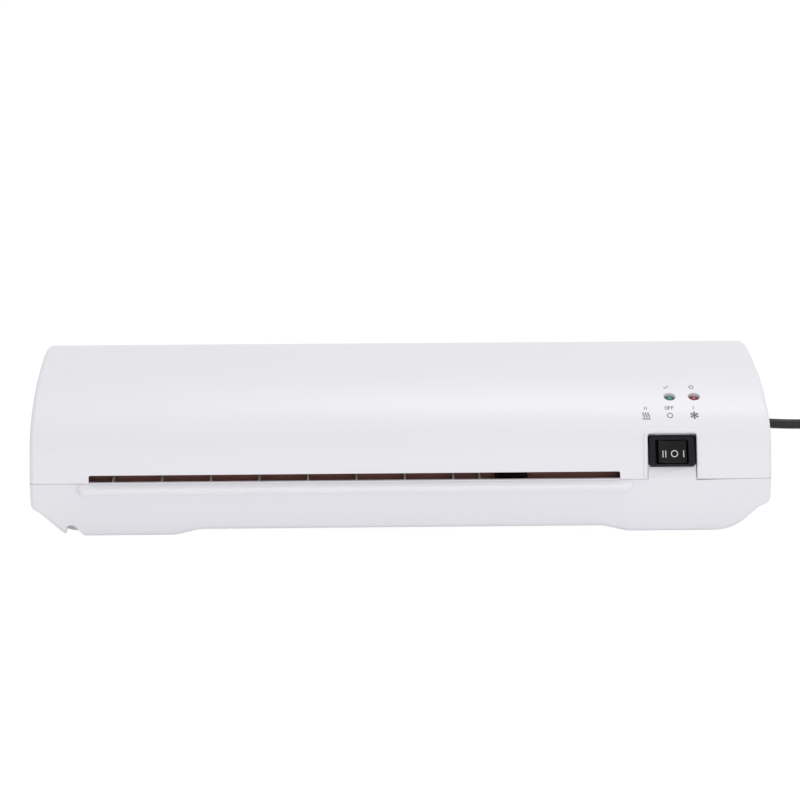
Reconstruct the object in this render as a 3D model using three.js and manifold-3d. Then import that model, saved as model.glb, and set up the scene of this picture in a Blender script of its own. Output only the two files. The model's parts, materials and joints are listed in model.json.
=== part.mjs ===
// A pouch laminator. A pouch goes over a ribbed guide, through a pair of silicone rollers, between two heated
// plates and out through a second pair of rollers. One gear motor turns all four rollers.
// Millimetres, +Z up. The feed slot faces -Y. The origin is on the table under the middle of the machine.
// "Depth" is the distance behind the front face, measured at the joint of the two shells.

import * as THREE from 'three';
import { mergeVertices } from 'three/addons/utils/BufferGeometryUtils.js';
import Module from 'manifold-3d';

const wasm = await Module();
wasm.setup();

// Shells
const bodyWidth = 336;
const seamHeight = 25.7;
const seamGap = 0.4;
const shellWall = 2.2;
const shellEdgeRadius = 2.4;
const endDraftShare = 0.004; // how far the cover's ends lean in, as a share of the rise
const overrun = 4; // how far a cutting solid runs past what it cuts
const fuse = 2; // how far joined solids run into each other
const clearance = 0.3; // between pieces that fit or rest on each other
const chordError = 0.08; // between an arc and its chords
const edgeSteps = 3; // chords in a rounded edge
const leastSides = 12; // of a round piece

// Section of the cover, from the seam at the front over the roof to the seam at the back
const frontFaceLength = 13;
const frontFaceAngle = 74;
const shoulderRadius = 26;
const foreRoofAngle = 27;
const foreRoofRadius = 100;
const midRoofAngle = 8;
const midRoofRadius = 300;
const aftRoofAngle = 3;
const aftRoofRadius = 60;
const rearRoofAngle = -16;
const rearShoulderRadius = 18;
const rearFaceAngle = -80;

// Feed and exit slots, and the lip under the feed slot. An inset is counted from the end of the body.
const slotLeftInset = 26.7;
const slotRightInset = 69.1;
const slotHeight = 3.7;
const slotCornerRadius = 0.9;
const exitHeight = 3.6;
const lipReach = 5.2;
const lipLeftMargin = 4.5;
const lipRightMargin = 5.4;
const lipTopDrop = 1.5;
const lipNoseHeight = 2.6;
const lipUndercut = 0.8;
const lipRadius = 1.4;
const lipEndRadius = 2.8;

// Vents in the rear face of the cover
const ventWidth = 2;
const ventHeight = 9;
const ventPitch = 5.5;
const ventsPerGroup = 7;
const ventHeightAboveSeam = 12;
const ventGroupInset = 56.5; // from the slot's end to the middle of a group

// Lower shell
const baseDraftRun = 0.9;
const footDrop = 0.2; // rubber pads stand this far below the moulded feet
const bellyLift = 2.7;
const bellyInset = 76;
const footInnerInset = 65;
const footInnerRadius = 12;
const footOuterInset = 17;
const footOuterRadius = 24;
const chamferInset = 5;
const chamferHeight = 11.4;
const chamferRadius = 8;
const endCornerHeight = 13.6;
const endCornerRadius = 4.2;
const leftFootSpread = 1.2; // the left foot's outer side stands this much further out
const leftFootRadius = 10;
const notchInset = 14.4;
const notchFootWidth = 9.8;
const notchTopWidth = 5;
const notchTop = 5.4;
const notchRadius = 2.4;
const notchDepth = 10;
const bossDiameter = 8;
const bossInset = 11.5;
const bossFrontDepth = 15;
const bossRearInset = 13;

// Switch, on a tab of the lower shell that leans back in a cut-out of the cover
const switchInset = 45.4;
const tabAngle = 60;
const tabLength = 26;
const tabWidth = 21.8;
const recessWidth = 22.4;
const recessTopAboveSeam = 19.8;
const recessCornerRadius = 1.6;
const rimWidth = 2;
const rimRise = 0.5;
const bezelWidth = 21.4;
const bezelHeight = 14.2;
const bezelThickness = 1.8;
const bezelRadius = 1.2;
const bezelRise = 0.9; // from the middle of the switch's body to the middle of its bezel
const switchAlongTab = 12.3; // the middle of the switch's body
const switchCutWidth = 19.6;
const switchCutHeight = 12.9;
const switchDepth = 13;
const wellWidth = 14.6;
const wellHeight = 11;
const wellDepth = 7;
const rockerSideGap = 1;
const rockerArm = 1.4; // how far the rocker's ends stand above the bezel
const rockerDish = 1.1;
const rockerKeel = 4.6;
const rockerPivotDepth = 3;
const rockerFaceSteps = 6;
const terminalLength = 6;
const terminalWidth = 4.8;
const terminalThickness = 0.8;
const terminalPitch = 6;
const terminalCount = 3;

// Indicator lights
const lightsInset = 39;
const lightDepth = 24.1;
const lightPitch = 11.2;
const lightHoleDiameter = 5.4;
const ledDiameter = 4.8;
const ledLength = 5.5;
const ledFlangeDiameter = 5.8;
const ledFlangeThickness = 1;
const ledSink = 0.8;
const ledBoardWidth = 30;
const ledBoardHeight = 9;
const boardThickness = 1.6;
const ledPostDiameter = 4;
const domeAngles = [0, 30, 60, 90];

// Rollers, shafts and gears
const rollerSpacing = 17;
const rollerTeeth = 17;
const idlerTeeth = 23;
const pinionTeeth = 14;
const pressureAngle = 20;
const addendumShare = 0.8;
const dedendumShare = 1.1;
const gearBacklash = 0.3;
const gearWidth = 5;
const gearHub = 1.2;
const nipGap = 0.4;
const shaftDiameter = 8;
const shaftOverhang = 2.5;
const rollerOverlap = 1; // sleeve beyond each end of the slot
const frontAxisDepth = 22;
const axisSpacing = 66; // from the front pair to the rear pair

// Side frames
const frameThickness = 1.5;
const frameInset = 7;
const frameFrontDepth = 11;
const frameRearInset = 10;
const frameGap = 2.8; // sleeve end to frame
const flangeWidth = 10;
const bearingHoleDiameter = 11;
const bearingFlange = 14;
const bearingFlangeThickness = 1.6;
const bearingCornerRadius = 3.5;

// Motor
const motorAxisHeight = 34.65;
const motorDiameter = 48;
const motorLength = 15;
const motorEdge = 2;
const gearboxLength = 5;
const postDiameter = 5;
const upperPostRise = 17.3;
const lowerPostDrop = 23;
const idlerPinDiameter = 4;
const idlerPinHead = 7;
const pinionShaftDiameter = 6;

// Heated plates
const plateAxisGap = 12; // from a roller's axis to the plates
const plateThickness = 5;
const plateOpening = 1.8;
const plateChamfer = 1.6;
const tongueWidth = 12;
const heaterThickness = 2.4;
const heaterMargin = 7;
const heaterEndMargin = 12;
const thermostatDiameter = 16;
const thermostatHeight = 8;
const thermostatOffset = 41; // from the middle of the slot
const fuseDiameter = 4;
const fuseLength = 12;
const fuseOffset = -9;

// Guides
const guideFrontDepth = 4.5;
const guideBarDepth = 4.5;
const guideBarHeight = 12;
const bladeThickness = 0.8;
const bladeDrop = 0.2;
const bladeFrontDepth = 2.7;
const bladeNoseInset = 6.8; // in front of the roller's axis
const bladeRollerGap = 1.2;
const firstBladeOffset = 10.6;
const bladeCount = 8; // evenly spaced, before the last one
const lastBladeOffset = 11.9;
const lastBladeInset = 63.5; // from the slot's right end
const exitBladeInset = 3;
const exitBladeCount = 9;
const sensorOffset = 7.2;
const sensorWidth = 14.8;
const sensorDepth = 3.6;

// Power board
const boardInset = 19.5;
const boardWidth = 22;
const boardFrontDepth = 27;
const boardRearInset = 26;
const boardHeight = 14;
const boardPostDiameter = 5;
const boardPostInset = 5;
const capacitorSize = [12, 20, 13];
const capacitorInset = 17; // in front of the board's rear edge

// Feet and screws
const footPadDiameter = 12;
const footPadRecess = 1;
const footPadInset = 47;
const footPadDepth = 14; // from the front and from the rear face
const screwHeadDiameter = 6;
const screwHeadHeight = 2;
const screwShankDiameter = 3;
const screwShankLength = 18;
const screwSeatHeight = 14;

// Cord
const cordDiameter = 5;
const cordSides = 8;
const reliefInset = 50;
const reliefHeight = 14;
const reliefCollarDiameter = 11;
const reliefCollarThickness = 2;
const reliefNeckDiameter = 8;
const reliefLength = 30;
const reliefRootDiameter = 9.5;
const reliefTipDiameter = 6.2;

// Coil of the stored length, beside the machine on the same table
const coilOffset = 140; // to the right of the strain relief
const coilPitch = 5.6; // from one turn or layer to the next
const coilInnerRadius = 18.9;
const coilTurns = 7.25; // in two layers
const coilClimbTurns = 0.5;
const coilSteps = 24; // points in a turn
const coilSides = 6;
const coilRest = 4; // height of the lower layer's centre line
const coilLead = 14; // straight end towards the machine
const coilTail = 30; // straight end towards the plug
const coilApproach = 41; // behind the rear face
const tieWidth = 6;
const tieThickness = 0.8;
const tieInnerGap = 0.6;
const tieAngle = 150;

// Plug on the end of the coil
const plugLength = 36;
const plugWidth = 25;
const plugNeckLength = 16;
const plugNeckDiameter = 8;
const plugRadius = 3;
const pinLength = 17;
const pinWidth = 6.3;
const pinThickness = 1.5;
const pinSpacing = 12.7;

const rad = THREE.MathUtils.degToRad;

// Finishes
const whitePlastic = { color: 0xe9e8ee, roughness: 0.45, metalness: 0 };
const palePlastic = { color: 0xd8d2cc, roughness: 0.6, metalness: 0 };
const gearPlastic = { color: 0xe6e0cf, roughness: 0.5, metalness: 0 };
const blackPlastic = { color: 0x16161a, roughness: 0.4, metalness: 0 };
const silicone = { color: 0x5a3a39, roughness: 0.7, metalness: 0 };
const steel = { color: 0xb4b6ba, roughness: 0.3, metalness: 1 };
const zincSteel = { color: 0x9fa3a6, roughness: 0.45, metalness: 1 };
const aluminium = { color: 0xc4c6c9, roughness: 0.4, metalness: 1 };
const brass = { color: 0xb8975a, roughness: 0.35, metalness: 1 };
const mica = { color: 0x8c8474, roughness: 0.8, metalness: 0 };
const boardResin = { color: 0x9a7f45, roughness: 0.6, metalness: 0 };
const blackRubber = { color: 0x1a1a1c, roughness: 0.8, metalness: 0 };
const greyRubber = { color: 0x6d6f73, roughness: 0.85, metalness: 0 };
const greenLens = { color: 0x2f7f66, roughness: 0.2, metalness: 0 };
const redLens = { color: 0x8c2038, roughness: 0.2, metalness: 0 };
const capacitorFilm = { color: 0xc8a228, roughness: 0.4, metalness: 0 };

// Solids that can be joined and cut
function solid(geometry) {
  geometry.deleteAttribute('normal');
  geometry.deleteAttribute('uv');
  const merged = mergeVertices(geometry);
  const vertProperties = new Float32Array(merged.attributes.position.array);
  const triVerts = new Uint32Array(merged.index.array);
  return new wasm.Manifold(new wasm.Mesh({ numProp: 3, vertProperties, triVerts }));
}

function geometryOf(manifold) {
  const mesh = manifold.getMesh();
  const geometry = new THREE.BufferGeometry();
  geometry.setAttribute('position', new THREE.BufferAttribute(mesh.vertProperties, 3));
  geometry.setIndex(new THREE.BufferAttribute(mesh.triVerts, 1));
  return geometry;
}

function joined(first, ...others) {
  return others.reduce((whole, geometry) => whole.add(solid(geometry)), solid(first));
}

function cut(whole, geometries) {
  return geometries.reduce((left, geometry) => left.subtract(solid(geometry)), whole);
}

// Chords that keep an arc within the chord error.
function chordCount(radius, turn) {
  const share = Math.min(chordError / radius, 1);
  return Math.max(2, Math.ceil(Math.abs(turn) / (2 * Math.acos(1 - share))));
}

function sidesOf(diameter) {
  return Math.max(chordCount(diameter / 2, Math.PI) * 2, leastSides);
}

// Outlines are lists of [across, up, radius], whose corners are rounded with arcs.
function roundedOutline(corners) {
  const points = [];
  corners.forEach(([x, y, radius = 0], i) => {
    const corner = new THREE.Vector2(x, y);
    if (!radius) {
      points.push(corner);
      return;
    }
    const [px, py] = corners[(i + corners.length - 1) % corners.length];
    const [nx, ny] = corners[(i + 1) % corners.length];
    const back = new THREE.Vector2(px, py).sub(corner);
    const ahead = new THREE.Vector2(nx, ny).sub(corner);
    const room = Math.min(back.length(), ahead.length()) / 2;
    back.normalize();
    ahead.normalize();
    const halfAngle = Math.acos(back.dot(ahead)) / 2;
    const setback = Math.min(radius / Math.tan(halfAngle), room);
    const usedRadius = setback * Math.tan(halfAngle);
    const centre = back.clone().add(ahead).normalize();
    centre.multiplyScalar(usedRadius / Math.sin(halfAngle)).add(corner);
    const from = back.multiplyScalar(setback).add(corner).sub(centre);
    const to = ahead.multiplyScalar(setback).add(corner).sub(centre);
    const turn = Math.atan2(from.cross(to), from.dot(to));
    const steps = chordCount(usedRadius, turn);
    for (let k = 0; k <= steps; k++) {
      points.push(from.clone().rotateAround(new THREE.Vector2(), (turn * k) / steps).add(centre));
    }
  });
  return points;
}

// Moves every straight edge of a corner list inwards; the list runs anticlockwise.
function insetCorners(corners, inset) {
  const edges = corners.map(([x, y], i) => {
    const [nx, ny] = corners[(i + 1) % corners.length];
    const along = new THREE.Vector2(nx - x, ny - y).normalize();
    const inward = new THREE.Vector2(-along.y, along.x);
    return { along, from: new THREE.Vector2(x, y).addScaledVector(inward, inset) };
  });
  return corners.map(([, , radius = 0], i) => {
    const before = edges[(i + edges.length - 1) % edges.length];
    const after = edges[i];
    const turn = before.along.cross(after.along);
    const reach = after.from.clone().sub(before.from).cross(after.along) / turn;
    const at = before.from.clone().addScaledVector(before.along, reach);
    const insetRadius = turn > 0 ? radius - inset : radius + inset;
    return [at.x, at.y, radius ? Math.max(insetRadius, 0) : 0];
  });
}

function rectangle(width, height, radius = 0) {
  const x = width / 2;
  const y = height / 2;
  return roundedOutline([[-x, -y, radius], [x, -y, radius], [x, y, radius], [-x, y, radius]]);
}

function circle(diameter, sides = sidesOf(diameter)) {
  return Array.from({ length: sides }, (_, i) => {
    const angle = (Math.PI * 2 * i) / sides;
    return new THREE.Vector2(Math.cos(angle), Math.sin(angle)).multiplyScalar(diameter / 2);
  });
}

function shifted(points, x, y) {
  return points.map((point) => new THREE.Vector2(point.x + x, point.y + y));
}

// Stretches an outline from zero to a length along Z; an edge radius rounds both ends.
function extrude(points, length, holes = [], edge = 0) {
  const shape = new THREE.Shape(points);
  shape.holes = holes.map((hole) => new THREE.Path(hole));
  const bevel = { bevelThickness: edge, bevelSize: edge, bevelOffset: -edge, bevelSegments: edgeSteps };
  const settings = { depth: length - edge * 2, bevelEnabled: edge > 0, ...bevel };
  return new THREE.ExtrudeGeometry(shape, settings).translate(0, 0, edge);
}

const across = new THREE.Vector3(1, 0, 0);
const back = new THREE.Vector3(0, 1, 0);
const up = new THREE.Vector3(0, 0, 1);
const sideViewFrame = new THREE.Matrix4().makeBasis(back, up, across);
const frontViewFrame = new THREE.Matrix4().makeBasis(across, up, back.clone().negate());

// Stretches a side view, drawn in depth and height, along X.
function alongX(points, fromX, toX, edge = 0) {
  return extrude(points, toX - fromX, [], edge).applyMatrix4(sideViewFrame).translate(fromX, 0, 0);
}

// Stretches a front view, drawn in X and height, along Y.
function alongY(points, fromY, toY, edge = 0) {
  return extrude(points, toY - fromY, [], edge).applyMatrix4(frontViewFrame).translate(0, toY, 0);
}

function block(fromX, toX, fromY, toY, fromZ, toZ) {
  const geometry = new THREE.BoxGeometry(toX - fromX, toY - fromY, toZ - fromZ);
  return geometry.translate((fromX + toX) / 2, (fromY + toY) / 2, (fromZ + toZ) / 2);
}

function rodX(diameter, fromX, toX, y = 0, z = 0) {
  return alongX(shifted(circle(diameter), y, z), fromX, toX);
}

function rodY(diameter, fromY, toY, x = 0, z = 0) {
  return alongY(shifted(circle(diameter), x, z), fromY, toY);
}

function rodZ(diameter, fromZ, toZ, x = 0, y = 0) {
  return extrude(shifted(circle(diameter), x, y), toZ - fromZ).translate(0, 0, fromZ);
}

// A turned piece about the local Y axis, from [radius, height] pairs.
function turned(profile) {
  const points = profile.map(([radius, height]) => new THREE.Vector2(radius, height));
  const widest = Math.max(...profile.map(([radius]) => radius));
  return new THREE.LatheGeometry(points, sidesOf(widest * 2));
}

// The cover's section in side view. A heading of 90 degrees is straight up, 0 is straight back.
const coverBends = [
  [shoulderRadius, foreRoofAngle],
  [foreRoofRadius, midRoofAngle],
  [midRoofRadius, aftRoofAngle],
  [aftRoofRadius, rearRoofAngle],
  [rearShoulderRadius, rearFaceAngle],
];

function heading(angle) {
  return new THREE.Vector2(Math.cos(rad(angle)), Math.sin(rad(angle)));
}

function inwardNormal(angle) {
  return new THREE.Vector2(Math.sin(rad(angle)), -Math.cos(rad(angle)));
}

function coverArcs(inset) {
  const start = inwardNormal(frontFaceAngle).multiplyScalar(inset);
  let at = start.clone().addScaledVector(heading(frontFaceAngle), frontFaceLength);
  let fromAngle = frontFaceAngle;
  const arcs = coverBends.map(([outerRadius, toAngle]) => {
    const radius = outerRadius - inset;
    const centre = at.clone().addScaledVector(inwardNormal(fromAngle), radius);
    const arc = { radius, centre, fromAngle, toAngle };
    at = centre.clone().addScaledVector(inwardNormal(toAngle), -radius);
    fromAngle = toAngle;
    return arc;
  });
  return { start, arcs, end: at };
}

// Both faces are carried straight down to a given height against the seam.
function coverSection(inset, bottom = 0) {
  const { start, arcs, end } = coverArcs(inset);
  const frontReach = (bottom - start.y) / Math.sin(rad(frontFaceAngle));
  const rearReach = (bottom - end.y) / Math.sin(rad(rearFaceAngle));
  const points = [start.clone().addScaledVector(heading(frontFaceAngle), frontReach)];
  for (const { radius, centre, fromAngle, toAngle } of arcs) {
    const steps = chordCount(radius, rad(fromAngle - toAngle));
    for (let k = 0; k < steps; k++) {
      const angle = fromAngle + ((toAngle - fromAngle) * k) / steps;
      points.push(centre.clone().addScaledVector(inwardNormal(angle), -radius));
    }
  }
  points.push(end, end.clone().addScaledVector(heading(rearFaceAngle), rearReach));
  return points;
}

const bodyDepth = coverSection(0).at(-1).x;
const frontY = (lipReach - bodyDepth) / 2;
const rearY = frontY + bodyDepth;

// Places that follow from the sizes above
const bodyEnd = bodyWidth / 2;
const slotLeft = slotLeftInset - bodyEnd;
const slotRight = bodyEnd - slotRightInset;
const slotMiddle = (slotLeft + slotRight) / 2;
const bossX = bodyEnd - bossInset;
const bossRearDepth = bodyDepth - bossRearInset;
const switchX = bodyEnd - switchInset;
const lightsX = bodyEnd - lightsInset;
const boardX = bodyEnd - boardInset;
const boardRearDepth = bodyDepth - boardRearInset;
const capacitorDepth = boardRearDepth - capacitorInset;
const footPadX = bodyEnd - footPadInset;
const footPadRearDepth = bodyDepth - footPadDepth;
const reliefX = bodyEnd - reliefInset;
const coilX = reliefX + coilOffset;
const frameLeftX = slotLeft - rollerOverlap - frameGap;
const frameRightX = slotRight + rollerOverlap + frameGap;
const frameRearDepth = bodyDepth - frameRearInset;
const gearModule = rollerSpacing / rollerTeeth;
const rollerRadius = (rollerSpacing - nipGap) / 2;
const rearAxisDepth = frontAxisDepth + axisSpacing;
const pathHeight = seamHeight + slotHeight / 2;
const lowerAxisHeight = pathHeight - rollerSpacing / 2;
const upperAxisHeight = pathHeight + rollerSpacing / 2;
const footFloor = footDrop + shellWall;
const bellyFloor = footFloor + bellyLift;
const gearX = frameRightX + frameThickness + gearHub;
const motorX = gearX + gearWidth + gearHub + clearance;
const motorAxisDepth = (frontAxisDepth + rearAxisDepth) / 2;
const plateFrontDepth = frontAxisDepth + plateAxisGap;
const plateRearDepth = rearAxisDepth - plateAxisGap;
const plateMiddleDepth = (plateFrontDepth + plateRearDepth) / 2;
const upperPlateTop = pathHeight + plateOpening / 2 + plateThickness;
const lowerPlateBottom = pathHeight - plateOpening / 2 - plateThickness;
const bladeHeelDepth = frontAxisDepth - rollerRadius - bladeRollerGap;
const bladeNoseDepth = frontAxisDepth - bladeNoseInset;
const exitBladeFrontDepth = rearAxisDepth + rollerRadius + bladeRollerGap;
const exitBladeRearDepth = bodyDepth - exitBladeInset;

// The cover's outer surface at a given depth: its height above the seam and its slope.
function coverSurface(depth) {
  const { radius, centre, toAngle } = coverArcs(0).arcs.find((arc) => {
    return depth <= arc.centre.x - arc.radius * Math.sin(rad(arc.toAngle));
  });
  const slope = Math.max(Math.asin((centre.x - depth) / radius), rad(toAngle));
  return { height: centre.y + radius * Math.cos(slope), slope };
}

// The form of the cover at an inset, its ends rounded and leaning in as a moulding's do.
function coverForm(inset, bottom) {
  const half = bodyWidth / 2 - inset;
  const section = shifted(coverSection(inset, bottom), frontY, seamHeight);
  const form = alongX(section, -half, half, Math.max(shellEdgeRadius - inset, 0));
  const place = form.attributes.position;
  for (let i = 0; i < place.count; i++) {
    const lean = (endDraftShare * (place.getZ(i) - seamHeight)) / half;
    place.setX(i, place.getX(i) * (1 - lean));
  }
  return solid(form);
}

// Frame of the switch tab: X across, Y up the tab, Z out of its face.
const tabFrame = new THREE.Matrix4().makeRotationX(rad(tabAngle)).setPosition(switchX, frontY, seamHeight);

// Frame of the lights: Y up the roof, Z out of it, the origin on the surface between the two.
const lightSurface = coverSurface(lightDepth);
const lightFrame = new THREE.Matrix4().makeRotationX(lightSurface.slope);
lightFrame.setPosition(lightsX, frontY + lightDepth, seamHeight + lightSurface.height);
const ledBoardTop = -ledSink - ledLength - clearance;
const ledPostShift = (ledBoardWidth - ledPostDiameter) / 2;

const bossPlaces = [
  ['front_left', -bossX, bossFrontDepth],
  ['front_right', bossX, bossFrontDepth],
  ['rear_left', -bossX, bossRearDepth],
  ['rear_right', bossX, bossRearDepth],
];

// Places at a pitch on both sides of a middle.
function evenly(count, pitch, middle) {
  return Array.from({ length: count }, (_, i) => middle + (i - (count - 1) / 2) * pitch);
}

function slotCut(height, fromY, toY) {
  const top = seamHeight + height;
  const left = [[slotLeft, top, slotCornerRadius], [slotLeft, 0]];
  const right = [[slotRight, 0], [slotRight, top, slotCornerRadius]];
  return alongY(roundedOutline([...left, ...right]), fromY, toY);
}

function ventCuts() {
  const outline = rectangle(ventWidth, ventHeight, ventWidth / 2);
  const centres = [slotLeft + ventGroupInset, slotRight - ventGroupInset];
  return centres.flatMap((centre) => evenly(ventsPerGroup, ventPitch, centre).map((x) => {
    const placed = shifted(outline, x, seamHeight + ventHeightAboveSeam);
    return alongY(placed, rearY - overrun * 2, rearY + overrun);
  }));
}

// An upright outline with two rounded corners at its top.
function archOutline(width, top, radius) {
  const half = width / 2;
  return roundedOutline([[-half, 0], [half, 0], [half, top, radius], [-half, top, radius]]);
}

// The opening round the switch tab, from the seam up, or the same with a margin round it.
function recessCut(margin) {
  const top = seamHeight + recessTopAboveSeam + margin;
  const outline = archOutline(recessWidth + margin * 2, top, recessCornerRadius + margin);
  return alongY(shifted(outline, switchX, 0), frontY - overrun, frontY + shoulderRadius);
}

function upperCover() {
  const wallMiddle = coverForm(shellWall / 2, -overrun);
  const rim = solid(recessCut(rimWidth)).intersect(coverForm(-rimRise, -overrun));
  let cover = coverForm(0, -overrun).add(rim).subtract(coverForm(shellWall, -overrun * 2));
  for (const [, x, depth] of bossPlaces) {
    const boss = solid(rodZ(bossDiameter, seamHeight, bodyWidth, x, frontY + depth));
    cover = cover.add(boss.intersect(wallMiddle));
  }
  for (const side of [-1, 1]) {
    const post = rodZ(ledPostDiameter, ledBoardTop + clearance, -shellWall / 2, side * ledPostShift, 0);
    cover = cover.add(solid(post.applyMatrix4(lightFrame)));
  }
  const pilotDiameter = screwShankDiameter + clearance * 2;
  const pilotTop = screwSeatHeight + screwShankLength + clearance;
  return geometryOf(cut(cover, [
    ...bossPlaces.map(([, x, depth]) => rodZ(pilotDiameter, 0, pilotTop, x, frontY + depth)),
    ...[-1, 1].map((side) => {
      return rodZ(lightHoleDiameter, -overrun, overrun, (side * lightPitch) / 2, 0).applyMatrix4(lightFrame);
    }),
    slotCut(slotHeight, frontY - overrun, frontY + guideFrontDepth),
    slotCut(exitHeight, rearY - guideFrontDepth, rearY + overrun),
    ...ventCuts(),
    recessCut(0),
    block(-bodyWidth, bodyWidth, -bodyWidth, bodyWidth, -bodyWidth, seamHeight + seamGap),
  ]));
}

// Front view of the lower shell, anticlockwise from its upper left corner.
function baseContour(top) {
  const side = (footSpread, footRadius) => [
    [bodyEnd - bellyInset, footDrop + bellyLift, footInnerRadius],
    [bodyEnd - footInnerInset, footDrop, footInnerRadius],
    [bodyEnd - footOuterInset + footSpread, footDrop, footRadius],
    [bodyEnd - chamferInset + footSpread, chamferHeight, chamferRadius],
    [bodyEnd, endCornerHeight, endCornerRadius],
    [bodyEnd, top],
  ];
  const left = side(leftFootSpread, leftFootRadius).map(([x, z, radius]) => [-x, z, radius]);
  return [...left.reverse(), ...side(0, footOuterRadius)];
}

// The form of the lower shell at an inset: its front view stretched back, between faces with draft.
// It runs on above the seam.
function baseForm(inset) {
  const contour = insetCorners(baseContour(seamHeight + overrun + inset), inset);
  const edge = Math.max(shellEdgeRadius - inset, 0);
  const stretched = alongY(roundedOutline(contour), frontY + inset, rearY - inset, edge);
  const overhang = (baseDraftRun * overrun) / seamHeight;
  const section = [
    [frontY - overhang, seamHeight + overrun],
    [frontY + baseDraftRun, 0],
    [rearY - baseDraftRun, 0],
    [rearY + overhang, seamHeight + overrun],
  ];
  const drafted = insetCorners(section, inset);
  drafted[1][1] = -overrun;
  drafted[2][1] = -overrun;
  return solid(stretched).intersect(solid(alongX(roundedOutline(drafted), -bodyWidth, bodyWidth)));
}

function feedLip() {
  const left = slotLeft - lipLeftMargin;
  const right = slotRight + lipRightMargin;
  const noseTop = seamHeight - lipTopDrop;
  const noseBottom = noseTop - lipNoseHeight;
  const section = [
    [frontY + fuse, seamHeight],
    [frontY, seamHeight],
    [frontY - lipReach, noseTop, lipRadius],
    [frontY - lipReach + lipUndercut, noseBottom, lipRadius],
    [frontY + fuse, noseBottom - lipUndercut],
  ];
  const plan = [
    [left, frontY - lipReach, lipEndRadius],
    [right, frontY - lipReach, lipEndRadius],
    [right, frontY + fuse],
    [left, frontY + fuse],
  ];
  const bar = solid(alongX(roundedOutline(section), left, right));
  return bar.intersect(solid(extrude(roundedOutline(plan), seamHeight + overrun)));
}

function switchTab() {
  const hole = shifted(rectangle(switchCutWidth, switchCutHeight), 0, switchAlongTab);
  const sheet = extrude(archOutline(tabWidth, tabLength, recessCornerRadius), shellWall, [hole]);
  return sheet.translate(0, 0, -shellWall).applyMatrix4(tabFrame);
}

const footPadPlaces = [
  ['front_left', -footPadX, footPadDepth],
  ['front_right', footPadX, footPadDepth],
  ['rear_left', -footPadX, footPadRearDepth],
  ['rear_right', footPadX, footPadRearDepth],
];

function lowerBase() {
  const above = block(-bodyWidth, bodyWidth, -bodyWidth, bodyWidth, seamHeight, bodyWidth);
  const wallMiddle = baseForm(shellWall / 2);
  let base = cut(baseForm(0), [above]).subtract(baseForm(shellWall));
  const columns = bossPlaces.map(([, x, depth]) => rodZ(bossDiameter, 0, seamHeight, x, frontY + depth));
  for (const side of [-1, 1]) {
    const x = boardX + side * (boardWidth / 2 - boardPostInset);
    for (const depth of [boardFrontDepth + boardPostInset, boardRearDepth - boardPostInset]) {
      columns.push(rodZ(boardPostDiameter, 0, boardHeight - clearance, x, frontY + depth));
    }
  }
  for (const column of columns) {
    base = base.add(solid(column).intersect(wallMiddle));
  }
  base = base.add(feedLip()).add(solid(switchTab()));
  const shankHole = screwShankDiameter + clearance * 2;
  const headHole = screwHeadDiameter + clearance * 2;
  const padHole = footPadDiameter + clearance * 2;
  const reliefHole = reliefNeckDiameter + clearance * 2;
  const padSeat = footDrop + footPadRecess;
  const notchLeft = notchInset - bodyEnd;
  const notch = [
    [notchLeft, -overrun],
    [notchLeft + notchFootWidth, -overrun],
    [notchLeft + notchFootWidth, footDrop],
    [notchLeft + notchTopWidth, notchTop, notchRadius],
    [notchLeft, notchTop, notchRadius],
  ];
  return geometryOf(cut(base, [
    ...bossPlaces.map(([, x, depth]) => rodZ(shankHole, -overrun, seamHeight + overrun, x, frontY + depth)),
    ...bossPlaces.map(([, x, depth]) => rodZ(headHole, -overrun, screwSeatHeight, x, frontY + depth)),
    ...footPadPlaces.map(([, x, depth]) => rodZ(padHole, -overrun, padSeat, x, frontY + depth)),
    rodY(reliefHole, rearY - overrun, rearY + overrun, reliefX, reliefHeight),
    alongY(roundedOutline(notch), frontY - overrun, frontY + notchDepth),
  ]));
}

// Outline of a gear: involute flanks, thinned by the backlash.
function gearOutline(teeth) {
  const pitchRadius = (gearModule * teeth) / 2;
  const baseRadius = pitchRadius * Math.cos(rad(pressureAngle));
  const tipRadius = pitchRadius + gearModule * addendumShare;
  const rootRadius = pitchRadius - gearModule * dedendumShare;
  const involute = (radius) => {
    const roll = Math.sqrt(Math.max((radius / baseRadius) ** 2 - 1, 0));
    return roll - Math.atan(roll);
  };
  const halfTooth = Math.PI / 2 / teeth - gearBacklash / 4 / pitchRadius;
  const side = [rootRadius, pitchRadius, tipRadius].map((radius) => {
    return [radius, halfTooth + involute(pitchRadius) - involute(radius)];
  });
  const points = [];
  for (let i = 0; i < teeth; i++) {
    const middle = (Math.PI * 2 * i) / teeth;
    const rise = side.map(([radius, half]) => [radius, middle - half]);
    const fall = side.map(([radius, half]) => [radius, middle + half]).reverse();
    for (const [radius, angle] of [...rise, ...fall]) {
      points.push(new THREE.Vector2(Math.cos(angle), Math.sin(angle)).multiplyScalar(radius));
    }
  }
  return points;
}

function gear(teeth, holes) {
  return extrude(gearOutline(teeth), gearWidth, holes).applyMatrix4(sideViewFrame);
}

// The turn that fits a gear's teeth between those of the gear before it.
function meshTurn(turn, teeth, nextTeeth, from, to) {
  const line = Math.atan2(to.y - from.y, to.x - from.x);
  return line + Math.PI - ((turn - line) * teeth) / nextTeeth - Math.PI / nextTeeth;
}

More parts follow.
